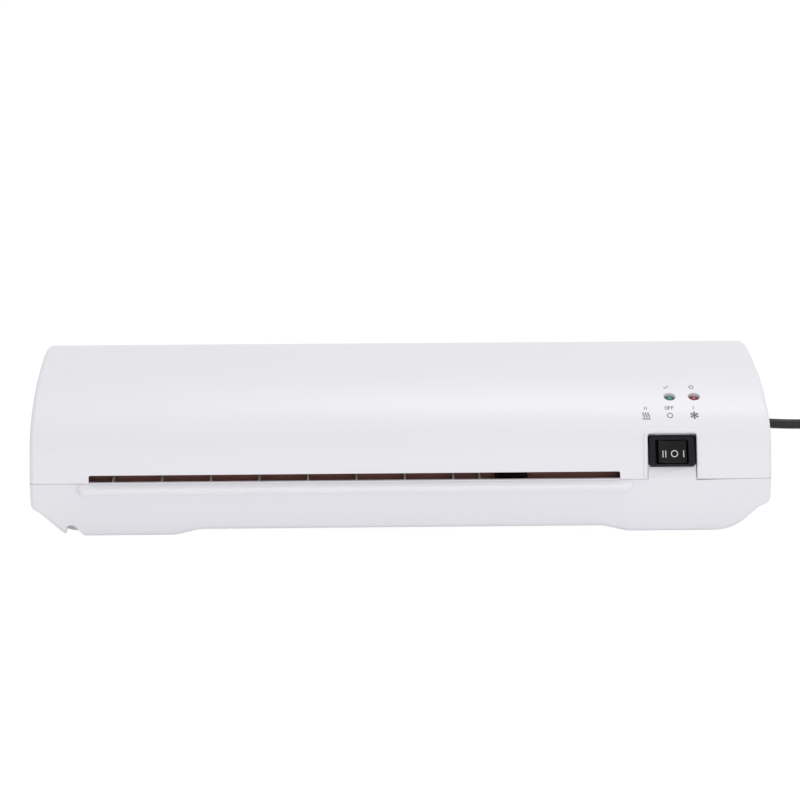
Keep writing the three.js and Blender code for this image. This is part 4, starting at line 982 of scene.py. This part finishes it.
def seam_block(low, high):
    return prism("seam", rectangle(BODY_WIDTH * 2, BODY_WIDTH * 2), low, high)


def boss_places():
    for x in (-BOSS_X, BOSS_X):
        for depth in (BOSS_FRONT_DEPTH, BODY_DEPTH - BOSS_REAR_INSET):
            yield x, FRONT_Y + depth


def upper_cover():
    cover = cover_form("cover", 0.0, -OVERRUN)
    inside = cover_form("inside", WALL, -OVERRUN * 2)
    left, right = SWITCH_X - RECESS_WIDTH / 2, SWITCH_X + RECESS_WIDTH / 2
    opening = arch(left, right, SEAM_HEIGHT + RECESS_TOP, RECESS_CORNER)
    opening = prism("opening", opening, FRONT_Y - OVERRUN, FRONT_Y + RECESS_DEPTH, FRONT_VIEW)
    holes = []
    for side in (-1, 1):
        outline = circle(LIGHT_HOLE, 64, x=side * LIGHT_PITCH / 2)
        holes.append(prism("light_hole", outline, -OVERRUN, OVERRUN, LIGHT_FRAME))
    cutters = [
        inside,
        slot_cutter(SLOT_HEIGHT, FRONT_Y - OVERRUN, FRONT_Y + SLOT_WALL_DEPTH),
        slot_cutter(EXIT_HEIGHT, REAR_Y - SLOT_WALL_DEPTH, REAR_Y + OVERRUN),
        vent_row(SLOT_LEFT + VENT_GROUP_INSET),
        vent_row(SLOT_RIGHT - VENT_GROUP_INSET),
        opening,
        *holes,
        seam_block(-OVERRUN * 3, SEAM_HEIGHT + SEAM_GAP),
    ]
    cover = softened(trimmed(cover, cutters), 0.22)
    bosses = []
    for x, y in boss_places():
        boss = prism("boss", circle(BOSS_DIAMETER, 32, x, y), SEAM_HEIGHT + SEAM_GAP, BODY_WIDTH)
        bosses.append(trimmed(boss, [cover_form("wall_middle", WALL / 2, -OVERRUN)], "INTERSECT"))
    for side in (-1, 1):
        post = circle(POST_DIAMETER, 24, x=side * POST_X)
        bosses.append(prism("post", post, -LED_SINK - LED_LENGTH, -WALL / 2, LIGHT_FRAME))
    return smooth(joined("cover_skin", [cover, smooth(bead(), 60.0), *bosses]))


def base_corners(top):
    side = [(BODY_END - inset, FOOT_DROP + rise, radius) for inset, rise, radius in BELLY_CORNERS]
    side += [(BODY_END, END_CORNER_HEIGHT, END_CORNER_RADIUS), (BODY_END, top, None)]
    left = [(-x, z, radius) for x, z, radius in reversed(side)]
    for place in (2, 3):
        x, z, radius = left[place]
        left[place] = (x - LEFT_FOOT_SPREAD, z, min(radius, LEFT_FOOT_RADIUS))
    return left + side


def base_form(name, inset):
    middle = (FRONT_Y + REAR_Y) / 2
    half = BODY_DEPTH / 2 - inset
    rings = []
    for place, dent in rounded_ends(half, max(EDGE_RADIUS - inset, 0.0)):
        drawn_in = inset + dent
        outline = rounded(inset_corners(base_corners(SEAM_HEIGHT + OVERRUN * 2), drawn_in))
        ring = []
        for x, z in outline:
            draft = BASE_DRAFT * (1 - z / SEAM_HEIGHT) / half
            ring.append(Vector((x, middle + place * (1 - draft), z)))
        rings.append(ring)
    return loft(name, rings)


def seam_tongue():
    """The strip inside the lower shell that closes the seam just behind its surface."""
    low, high = SEAM_HEIGHT - TONGUE_DEPTH, SEAM_HEIGHT + SEAM_GAP - SKIN_GAP
    middle = (FRONT_Y + REAR_Y) / 2
    rings = []
    for inset, z in ((TONGUE_FACE, low), (TONGUE_FACE, high), (TONGUE_BACK, high), (TONGUE_BACK, low)):
        corner = EDGE_RADIUS - inset * 0.5
        rings.append(ring_of(rectangle(BODY_WIDTH - inset * 2, BODY_DEPTH - inset * 2, corner, y=middle), z))
    return loft("tongue", rings, endless=True)


def feed_lip():
    left, right = SLOT_LEFT - LIP_LEFT_MARGIN, SLOT_RIGHT + LIP_RIGHT_MARGIN
    top = SEAM_HEIGHT - LIP_TOP_DROP
    bottom = top - LIP_NOSE_HEIGHT
    outline = rounded([
        (LIP_ROOT, SEAM_HEIGHT - SKIN_GAP, None),
        (LIP_ROOT, bottom - LIP_UNDERCUT, None),
        (-0.1, bottom - LIP_UNDERCUT * 0.5, None),
        (LIP_UNDERCUT - LIP_REACH, bottom, LIP_RADIUS),
        (-LIP_REACH, top, LIP_RADIUS),
        (0.0, SEAM_HEIGHT - SKIN_GAP, None),
    ])
    rings = []
    for place, dent in rounded_ends((right - left) / 2, LIP_END_RADIUS):
        share = (LIP_REACH - dent) / LIP_REACH
        sink = (1 - share) * LIP_END_SINK
        ring = []
        for y, z in outline:
            reach = y * share if y < 0 else y
            height = z if z > top else z + (SEAM_HEIGHT - z) * sink
            ring.append(Vector(((left + right) / 2 + place, FRONT_Y + reach, height)))
        rings.append(ring)
    return smooth(loft("lip", rings), 40.0)


def switch_tab():
    lean = BASE_DRAFT * TAB_ROOT / SEAM_HEIGHT
    along = heading(TAB_ANGLE)
    back = inward(TAB_ANGLE) * WALL
    tip = along * TAB_LENGTH
    inner = (WALL - back.x) / along.x
    outline = rounded([
        (lean, -TAB_ROOT, None),
        (WALL, -TAB_ROOT, None),
        (WALL, back.y + along.y * inner, None),
        (tip.x + back.x, tip.y + back.y, None),
        (tip.x, tip.y, 0.5),
        (0.0, 0.0, TAB_BEND),
    ])
    placed = Matrix.Translation((0, FRONT_Y, SEAM_HEIGHT)) @ SIDE_VIEW
    tab = prism("tab", outline, SWITCH_X - TAB_WIDTH / 2, SWITCH_X + TAB_WIDTH / 2, placed)
    hole = prism("cut_out", rectangle(*SWITCH_CUT), -OVERRUN, OVERRUN, WELL_FRAME)
    return trimmed(tab, [hole])


def notch(name, margin=0.0):
    """The cutter of the notch beside the left foot; with a margin, the moulding round it."""
    corners = [
        (NOTCH_LEFT, -OVERRUN, None),
        (NOTCH_LEFT + NOTCH_FOOT_WIDTH, -OVERRUN, None),
        (NOTCH_LEFT + NOTCH_FOOT_WIDTH, FOOT_DROP, None),
        (NOTCH_LEFT + NOTCH_LEAN + NOTCH_TOP_WIDTH, NOTCH_TOP, NOTCH_RADIUS),
        (NOTCH_LEFT + NOTCH_LEAN, NOTCH_TOP, NOTCH_RADIUS),
    ]
    outline = rounded(inset_corners(corners, -margin))
    return prism(name, outline, FRONT_Y - OVERRUN, FRONT_Y + NOTCH_DEPTH + margin, FRONT_VIEW)


def lower_base():
    room = rectangle(TAB_WIDTH, WALL + TAB_ROOM, None, SWITCH_X, FRONT_Y + (WALL - TAB_ROOM) / 2)
    cord_hole = circle(CORD_HOLE, 48, RELIEF_X, RELIEF_HEIGHT)
    cutters = [
        trimmed(base_form("hollow", WALL), [notch("notch_wall", WALL)]),
        seam_block(SEAM_HEIGHT, SEAM_HEIGHT + BODY_WIDTH),
        prism("tab_room", room, SEAM_HEIGHT - TAB_ROOT, BODY_WIDTH),
        notch("notch"),
        prism("cord_hole", cord_hole, REAR_Y - OVERRUN, REAR_Y + OVERRUN, FRONT_VIEW),
    ]
    for x in (-PAD_X, PAD_X):
        for y in (FRONT_Y + PAD_DEPTH, REAR_Y - PAD_DEPTH):
            outline = circle(PAD_DIAMETER + CLEARANCE * 2, 48, x, y)
            cutters.append(prism("pad_seat", outline, -OVERRUN, FOOT_DROP + PAD_RECESS))
    columns = []
    for x, y in boss_places():
        well = circle(SCREW_HEAD + CLEARANCE * 2, 40, x, y)
        column = prism("column", circle(BOSS_DIAMETER, 40, x, y), COLUMN_FOOT, SEAM_HEIGHT - COLUMN_GAP)
        columns.append(trimmed(column, [prism("well", well, 0.0, SCREW_SEAT)]))
        cutters.append(prism("screw_well", well, -OVERRUN, SCREW_SEAT))
    base = trimmed(trimmed(base_form("base", 0.0), cutters), [switch_tab()], "UNION")
    return smooth(joined("base_skin", [softened(base, 0.25), seam_tongue(), feed_lip(), *columns]))


finished(upper_cover(), SHELL, stands_for=["upper_cover"])
finished(lower_base(), SHELL, stands_for=["lower_base"])


# Feet and screws

def foot_pad(x, y):
    """A disc with a ring groove in its sole."""
    half = PAD_DIAMETER / 2
    top = FOOT_DROP + PAD_RECESS - CLEARANCE
    groove = [(0.55, 0.0), (0.6, PAD_GROOVE), (0.68, PAD_GROOVE), (0.73, 0.0)]
    profile = [(0.0, 0.0)] + [(half * share, height) for share, height in groove]
    profile += [(half - 0.3, 0.0), (half - 0.08, 0.08), (half, 0.3), (half, top), (0.0, top)]
    return turned("foot_pad", profile, Matrix.Translation((x, y, 0)))


def case_screw(x, y):
    head, shank = SCREW_HEAD / 2, SCREW_SHANK / 2
    top = SCREW_HEAD_HEIGHT
    profile = [(0.0, 0.25), (head * 0.6, 0.25), (head * 0.9, 0.5), (head, 0.9), (head, top), (shank, top)]
    for k in range(THREAD_COUNT):
        height = top + 1.0 + k * THREAD_PITCH
        profile += [(shank, height), (shank - THREAD_DEPTH, height + 0.45), (shank, height + 0.9)]
    profile += [(shank * 0.5, SCREW_LENGTH - 0.4), (0.0, SCREW_LENGTH)]
    place = Matrix.Translation((x, y, SCREW_SEAT - CLEARANCE - SCREW_HEAD_HEIGHT))
    length, width = CROSS_SIZE
    cross_bars = [prism("cross", rectangle(*size), -1.0, CROSS_DEPTH, place)
                  for size in ((length, width), (width, length))]
    return trimmed(turned("screw", profile, place, 32), cross_bars)


for side_name, side in (("left", -1), ("right", 1)):
    for end_name, pad_y, screw_y in (("front", FRONT_Y + PAD_DEPTH, FRONT_Y + BOSS_FRONT_DEPTH),
                                     ("rear", REAR_Y - PAD_DEPTH, REAR_Y - BOSS_REAR_INSET)):
        place_name = f"{end_name}_{side_name}"
        finished(smooth(foot_pad(side * PAD_X, pad_y)), FOOT_RUBBER,
                 stands_for=["foot_pad_" + place_name], name="rubber_foot_" + place_name)
        finished(smooth(case_screw(side * BOSS_X, screw_y)), ZINC,
                 stands_for=["case_screw_" + place_name], name="cross_screw_" + place_name)


# Switch

def grown(size, amount):
    return (size[0] + amount, size[1] + amount)


def switch_housing():
    """One closed skin: body behind the tab, bezel with sloped edges, and the well the rocker sits in."""
    body = grown(SWITCH_CUT, -CLEARANCE * 2)
    top = CLEARANCE + BEZEL_THICKNESS
    levels = [
        (body, -SWITCH_DEPTH, 0.6, WELL_FRAME),
        (body, CLEARANCE, 0.6, WELL_FRAME),
        (BEZEL_SIZE, CLEARANCE, BEZEL_RADIUS, SWITCH_FRAME),
        (BEZEL_SIZE, top - 0.75, BEZEL_RADIUS, SWITCH_FRAME),
        (grown(BEZEL_SIZE, -0.5), top - 0.3, BEZEL_RADIUS, SWITCH_FRAME),
        (grown(BEZEL_SIZE, -1.3), top, BEZEL_RADIUS, SWITCH_FRAME),
        (grown(WELL_SIZE, 0.7), top, 1.0, WELL_FRAME),
        (grown(WELL_SIZE, 0.2), top - 0.2, 0.8, WELL_FRAME),
        (WELL_SIZE, top - 0.6, 0.7, WELL_FRAME),
        (WELL_SIZE, BEZEL_THICKNESS - WELL_DEPTH, 0.7, WELL_FRAME),
    ]
    rings = [ring_of(rectangle(*size, corner), height, view) for size, height, corner, view in levels]
    return smooth(loft("switch_housing", rings), 50.0)


ROCKER_HALF = WELL_SIZE[0] / 2 - ROCKER_GAP


def rocker_height(x):
    """Height of the rocker's dished face over the switch's frame."""
    return CLEARANCE + BEZEL_THICKNESS + ROCKER_ARM - ROCKER_DISH * (1 - (x / ROCKER_HALF) ** 2)


def rocker_cap():
    half = ROCKER_HALF
    steps = 24
    face = [half - 2 * half * k / steps for k in range(steps + 1)]
    bottom = CLEARANCE - ROCKER_PIVOT
    outline = [(-ROCKER_KEEL / 2, bottom), (ROCKER_KEEL / 2, bottom), (half - 0.3, ROCKER_EDGE)]
    outline += [(x, rocker_height(x)) for x in face] + [(0.3 - half, ROCKER_EDGE)]
    rings = []
    for place, dent in rounded_ends(WELL_SIZE[1] / 2 - CLEARANCE, ROCKER_EDGE):
        shrink = 1 - dent / half * ROCKER_EDGE
        rings.append([WELL_FRAME @ Vector((x * shrink, place, z - dent * ROCKER_EDGE)) for x, z in outline])
    return softened(loft("rocker_cap", rings), 0.25, 40.0)


def strip(points, width, closed=False):
    """Faces that follow a line of flat points at a width: (points, faces)."""
    vertices = []
    faces = []
    count = len(points)
    for i, point in enumerate(points):
        before = points[(i - 1) % count] if closed else points[max(i - 1, 0)]
        after = points[(i + 1) % count] if closed else points[min(i + 1, count - 1)]
        ahead = (after - before).normalized()
        side = Vector((-ahead.y, ahead.x)) * width / 2
        vertices += [point + side, point - side]
    spans = count if closed else count - 1
    for i in range(spans):
        low, high = i * 2, (i + 1) % count * 2
        faces.append((low, low + 1, high + 1, high))
    return vertices, faces


def line(start, end, steps=6):
    return [Vector(start).lerp(Vector(end), k / steps) for k in range(steps + 1)]


def printed(name, marks, surface):
    """Thin closed print: marks are ((points, faces), x, y), laid on a surface and given a thickness."""
    vertices = []
    faces = []
    for (points, mark_faces), x, y in marks:
        first = len(vertices)
        vertices += [surface(x + point.x, y + point.y) for point in points]
        faces += [tuple(first + i for i in face) for face in mark_faces]
    piece = made(name, vertices, faces)
    thick = piece.modifiers.new("thickness", "SOLIDIFY")
    thick.thickness = PRINT_DEPTH
    thick.offset = 0.0
    return outward(settled(piece))


def upright(height, stroke):
    return strip(line((0, -height / 2), (0, height / 2)), stroke)


def on_rocker(x, y):
    return WELL_FRAME @ Vector((x, y, rocker_height(x)))


MARK_HEIGHT = 3.2
MARK_STROKE = 0.37
MARK_DROP = -1.1
BAR_PLACES = (-4.3, -3.0, 5.1)
RING_PLACE = (1.0, MARK_DROP + 0.2)
rocker_marks = [(upright(MARK_HEIGHT, MARK_STROKE), place, MARK_DROP) for place in BAR_PLACES]
rocker_marks.append((strip(circle(MARK_HEIGHT - MARK_STROKE, 40), MARK_STROKE, closed=True), *RING_PLACE))

finished(switch_housing(), BLACK, stands_for=["switch_body"])
TERMINAL_LENGTH = 8.0
TERMINAL_ROOT = 2.0 - SWITCH_DEPTH
terminal = prism("terminal", rectangle(0.8, 4.8, 0.2), TERMINAL_ROOT - TERMINAL_LENGTH, TERMINAL_ROOT)
terminal_step = WELL_FRAME.to_3x3() @ Vector((6.0, 0, 0))
terminal.data.transform(WELL_FRAME.to_3x3().to_4x4())
first_terminal = WELL_FRAME.translation - terminal_step
terminals = row("switch_terminals", terminal, 3, first_terminal, terminal_step, BRASS)
finished(softened(terminals, 0.12), BRASS)
finished(rocker_cap(), ROCKER_BLACK, "rocker", stands_for=["switch_rocker"])
finished(printed("rocker_marks", rocker_marks, on_rocker), MARK, "rocker")


# Lights

def led(side):
    radius, flange = LED_DIAMETER / 2, LED_FLANGE / 2
    shoulder = LED_FLANGE_THICKNESS - LED_LENGTH
    profile = [(0.0, -LED_LENGTH), (flange, -LED_LENGTH), (flange, shoulder), (radius, shoulder)]
    for k in range(9):
        dome = heading(90 * k / 8) * radius
        profile.append((max(dome.x, 0.0), dome.y - radius))
    place = LIGHT_FRAME @ Matrix.Translation((side * LIGHT_PITCH / 2, 0, -LED_SINK))
    return smooth(turned("led", profile, place, 40))


for node_name, side, finish in (("ready_led", -1, GREEN_LENS), ("power_led", 1, RED_LENS)):
    finished(led(side), finish, stands_for=[node_name], name=node_name + "_lens")


# Printing on the cover

def on_cover(x, along):
    """A point on the cover at X and a distance along its curved section from the lights' middle."""
    depth = LIGHT_DEPTH
    step = math.copysign(0.25, along)
    count = int(along / step)
    for stride in [step] * count + [along - step * count]:
        depth += stride * math.cos(roof_at(depth)[1])
    height, slope = roof_at(depth)
    return shell_point(x, depth, height) + face_normal(slope) * 0.01


def along_to(depth):
    """Distance along the section from the lights' middle to a depth."""
    steps = 200
    total = 0.0
    for k in range(steps):
        at = LIGHT_DEPTH + (depth - LIGHT_DEPTH) * (k + 0.5) / steps
        total += (depth - LIGHT_DEPTH) / steps / math.cos(roof_at(at)[1])
    return total


def stroke_line(start, end, stroke, steps=6):
    return strip(line(start, end, steps), stroke)


def wave(steps=14, length=2.9, swing=0.32):
    shares = [k / steps for k in range(steps + 1)]
    return [Vector((swing * math.sin(share * math.tau), length * (share - 0.5))) for share in shares]


def flake(radius):
    """A six-armed flake with a short fork at each arm's end."""
    shapes = []
    for k in range(6):
        angle = 60 * k + 90
        arm = heading(angle) * radius
        fork = arm * 0.58
        shapes.append(stroke_line((0, 0), arm, 0.62))
        for turn in (-48, 48):
            shapes.append(stroke_line(fork, fork + heading(angle + turn) * radius * 0.36, 0.42, 3))
    return shapes


def letter_off(height, stroke):
    """The strokes of the word OFF about its middle."""
    width = height * 0.46
    pitch = height * 0.62
    ring = [Vector((p.x * width * 1.1 - pitch, p.y * (height - stroke))) for p in circle(1.0, 40)]
    shapes = [strip(ring, stroke, closed=True)]
    for place in (0.0, pitch):
        left = place - width / 2 + height * 0.08
        shapes.append(stroke_line((left, -height / 2), (left, height / 2), stroke))
        for rise, reach in ((height / 2 - stroke / 2, width), (stroke * 0.4, width * 0.82)):
            shapes.append(stroke_line((left, rise), (left + reach, rise), stroke))
    return shapes


LAMP_ROW = along_to(30.8)
WORD_ROW = along_to(17.0)
SYMBOL_ROW = along_to(13.2)
HOT_X, OFF_X, COLD_X = 111.5, 122.4, 133.5
READY_X, POWER_X = 122.4, 134.1
BAR_HEIGHT = 1.9
WORD_STROKE = 0.34
HEAT_STROKE = 0.5
HEAT_PITCH = 1.15
STANDBY_STROKE = 0.38

heat_base = stroke_line((-1.85, 0), (1.85, 0), HEAT_STROKE)
oval = [Vector((p.x, p.y * 1.14)) for p in circle(2.3, 40)]
word_bar = upright(BAR_HEIGHT, WORD_STROKE)
tick = [Vector((-1.1, 0.1)), Vector((-0.35, -0.9)), Vector((1.2, 1.1))]
standby = [Vector((p.x, p.y * 1.3)) for p in (heading(122 + 296 * k / 30) for k in range(31))]
cover_marks = [(strip(wave(), HEAT_STROKE), HOT_X + i * HEAT_PITCH, SYMBOL_ROW + 0.35) for i in (-1, 0, 1)]
cover_marks.append((heat_base, HOT_X, SYMBOL_ROW - 1.85))
cover_marks.append((strip(oval, 0.42, closed=True), OFF_X, SYMBOL_ROW))
cover_marks += [(shape, COLD_X, SYMBOL_ROW) for shape in flake(2.0)]
cover_marks += [(shape, OFF_X, WORD_ROW) for shape in letter_off(2.2, WORD_STROKE)]
cover_marks += [(word_bar, x, WORD_ROW) for x in (HOT_X - 0.45, HOT_X + 0.45, COLD_X)]
cover_marks += [(stroke_line(start, end, 0.42), READY_X, LAMP_ROW) for start, end in zip(tick, tick[1:])]
cover_marks.append((strip(standby, STANDBY_STROKE), POWER_X, LAMP_ROW - 0.1))
cover_marks.append((stroke_line((0, 0.1), (0, 1.7), STANDBY_STROKE), POWER_X, LAMP_ROW))
finished(printed("cover_print", cover_marks, on_cover), PRINT)


# Guides and rollers

PATH_HEIGHT = SEAM_HEIGHT + SLOT_HEIGHT / 2
LOWER_AXIS = PATH_HEIGHT - ROLLER_SPACING / 2
UPPER_AXIS = PATH_HEIGHT + ROLLER_SPACING / 2
RIB_TOP = SEAM_HEIGHT - RIB_DROP
BELLY_FLOOR = FOOT_DROP + WALL + BELLY_CORNERS[0][1]


def guide(name, corners, places, bar_depth):
    """Ribs on a bar. Places are (first, step, count) runs of ribs."""
    pieces = []
    for first, step, count in places:
        side_view = Matrix.Translation((0, FRONT_Y, 0)) @ SIDE_VIEW
        rib = prism("rib", rounded(corners), -RIB_WIDTH / 2, RIB_WIDTH / 2, side_view)
        pieces.append(row("ribs", rib, count, (first, 0, 0), (step, 0, 0), PALE))
    outline = rectangle(SLOT_RIGHT - SLOT_LEFT + GUIDE_MARGIN * 2, GUIDE_BAR_DEPTH, 0.4,
                        (SLOT_LEFT + SLOT_RIGHT) / 2, FRONT_Y + bar_depth + GUIDE_BAR_DEPTH / 2)
    pieces.append(prism("bar", outline, BELLY_FLOOR + CLEARANCE, GUIDE_BAR_TOP))
    return softened(joined(name, pieces), 0.2)


ENTRY_BAR_DEPTH = 4.5
EXIT_ROLLER_GAP = 1.2
EXIT_REAR_INSET = 3.0
RIB_CORNER = 0.4

rib_first = SLOT_LEFT + RIB_FIRST
rib_last = SLOT_RIGHT - RIB_LAST_INSET
rib_step = (rib_last - RIB_LAST_STEP - rib_first) / (RIB_COUNT - 1)
rib_root = GUIDE_BAR_TOP - 2.0
entry_corners = [
    (RIB_FRONT_DEPTH, rib_root, None),
    (RIB_HEEL_DEPTH, rib_root, None),
    (RIB_HEEL_DEPTH, LOWER_AXIS, None),
    (RIB_NOSE_DEPTH, RIB_TOP + RIB_RISE, RIB_CORNER),
    (RIB_FRONT_DEPTH, RIB_TOP, RIB_CORNER),
]
entry_places = [(rib_first, rib_step, RIB_COUNT), (rib_last, 0.0, 1)]
entry_guide = guide("entry_ribs", entry_corners, entry_places, ENTRY_BAR_DEPTH)
finished(entry_guide, PALE, stands_for=["entry_guide"])

exit_front = FRONT_AXIS_DEPTH + AXIS_SPACING + ROLLER_RADIUS + EXIT_ROLLER_GAP
exit_rear = BODY_DEPTH - EXIT_REAR_INSET
exit_step = (SLOT_RIGHT - SLOT_LEFT) / EXIT_RIB_COUNT
exit_corners = [
    (exit_front, rib_root, None),
    (exit_rear, rib_root, None),
    (exit_rear, RIB_TOP, RIB_CORNER),
    (exit_front, RIB_TOP, RIB_CORNER),
]
exit_places = [(SLOT_LEFT + exit_step / 2, exit_step, EXIT_RIB_COUNT)]
exit_guide = guide("exit_ribs", exit_corners, exit_places, exit_rear - GUIDE_BAR_DEPTH)
finished(exit_guide, PALE, stands_for=["exit_guide"])


def roller(depth, height):
    """A sleeve with rounded ends and a bore for its shaft."""
    half = (SLOT_RIGHT - SLOT_LEFT) / 2 + 1.0
    bore = SHAFT_DIAMETER / 2 + CLEARANCE
    outer = ROLLER_RADIUS
    end = [(bore, half), (outer - 0.5, half), (outer - 0.15, half - 0.15), (outer, half - 0.5)]
    profile = [(radius, -along) for radius, along in end] + end[::-1] + [(bore, -half)]
    place = Matrix.Translation(((SLOT_LEFT + SLOT_RIGHT) / 2, FRONT_Y + depth, height)) @ SIDE_VIEW
    return smooth(turned("roller", profile, place, 64))


for pair, depth in (("front", FRONT_AXIS_DEPTH), ("rear", FRONT_AXIS_DEPTH + AXIS_SPACING)):
    for level, height in (("lower", LOWER_AXIS), ("upper", UPPER_AXIS)):
        body = f"{pair}_{level}"
        finished(roller(depth, height), SILICONE, body, stands_for=[body + "_roller"], name=body + "_sleeve")


# Strain relief: a collar inside and outside the wall and a ribbed taper

def strain_relief():
    inside = -WALL - BASE_DRAFT - CLEARANCE
    root, tip = RELIEF_ROOT, RELIEF_TIP
    first, last = CLEARANCE + 2.0, RELIEF_LENGTH - 1.5
    profile = [(0.0, inside - 2.0), (5.2, inside - 2.0), (5.5, inside - 1.7), (5.5, inside), (4.0, inside),
               (4.0, CLEARANCE), (5.2, CLEARANCE), (5.5, CLEARANCE + 0.3), (5.5, first - 0.3), (5.2, first)]
    pitch = (last - first) / RELIEF_RINGS
    for k in range(RELIEF_RINGS):
        for share, groove in ((0.08, 0.0), (0.5, 0.0), (0.58, RELIEF_GROOVE), (0.92, RELIEF_GROOVE)):
            along = first + pitch * (k + share)
            radius = (root + (tip - root) * (along - first) / (last - first)) / 2
            profile.append((radius - groove, along))
    end = RELIEF_LENGTH
    profile += [(tip / 2, last), (tip / 2, end - 0.3), (tip / 2 - 0.3, end), (0.0, end)]
    place = Matrix.Translation((RELIEF_X, REAR_Y, RELIEF_HEIGHT)) @ FRONT_VIEW
    return smooth(turned("relief_sleeve", profile, place), 45.0)


finished(strain_relief(), VINYL, stands_for=["strain_relief"])


# The CAD nodes that stay as they are get the finish of their slot
for subpart in frame["record"]["subparts"]:
    node = frame["nodes"][subpart["node"]]
    material = FINISHES[subpart["material_slot"]].material
    for held in node.material_slots:
        held.material = material


# Floor, world and lamps, in metres

WHITE = (1.0, 1.0, 1.0, 1.0)
WORLD_STRENGTH = 0.6
FLOOR_COLOUR = (0.92, 0.92, 0.93, 1.0)
FLOOR_GLOW_SHARE = 0.9
FLOOR_GLOW = 1.075
FLOOR_HALF = 4000.0
FLOOR_THICKNESS = 10.0
FLOOR_DROP = 0.05

world = bpy.data.worlds.new("studio")
bpy.context.scene.world = world
world.use_nodes = True
sky = Wiring(world.node_tree)
falling = sky.node("ShaderNodeBackground", {}, {"Color": WHITE, "Strength": WORLD_STRENGTH})
backdrop = sky.node("ShaderNodeBackground", {}, {"Color": WHITE, "Strength": 1.0})
sky_surface = sky.mixed(sky.seen_directly(), falling.outputs[0], backdrop.outputs[0])
sky.node("ShaderNodeOutputWorld", {}, {"Surface": sky_surface})

floor = prism("floor", rectangle(FLOOR_HALF * 2, FLOOR_HALF * 2), -FLOOR_THICKNESS, -FLOOR_DROP)
floor.data.transform(Matrix.Scale(METRE, 4))
table = bpy.data.materials.new("table_white")
table.use_nodes = True
table_tree = Wiring(table.node_tree)
matt = table_tree.node("ShaderNodeBsdfDiffuse", {}, {"Color": FLOOR_COLOUR})
glow = table_tree.node("ShaderNodeEmission", {}, {"Color": WHITE, "Strength": FLOOR_GLOW})
bright = table_tree.mixed(FLOOR_GLOW_SHARE, matt.outputs[0], glow.outputs[0])
table_surface = table_tree.mixed(table_tree.seen_directly(), matt.outputs[0], bright)
table_tree.node("ShaderNodeOutputMaterial", {}, {"Surface": table_surface})
floor.data.materials.append(table)


def lamp(name, place, target, size, power):
    light = bpy.data.lights.new(name, "AREA")
    light.shape = "RECTANGLE"
    light.size, light.size_y = size
    light.energy = power
    holder = bpy.data.objects.new(name, light)
    holder.location = place
    holder.rotation_euler = (Vector(target) - Vector(place)).to_track_quat("-Z", "Y").to_euler()
    bpy.context.scene.collection.objects.link(holder)


AIM = (0.0, 0.0, 0.03)
lamp("low", (0.0, -2.0, 0.3), AIM, (1.8, 0.4), 6.4)
lamp("front", (0.5, -2.2, 0.75), AIM, (1.8, 1.2), 3.1)
lamp("right", (1.2, -0.9, 1.5), AIM, (1.2, 1.0), 1.8)
lamp("overhead", (0.45, 0.45, 1.7), (0.1, 0.0, 0.05), (1.4, 0.35), 7.6)
lamp("top", (0.2, 0.0, 2.0), AIM, (1.8, 0.8), 1.9)

bpy.context.scene.view_settings.view_transform = "Standard"

bpy.context.view_layer.update()
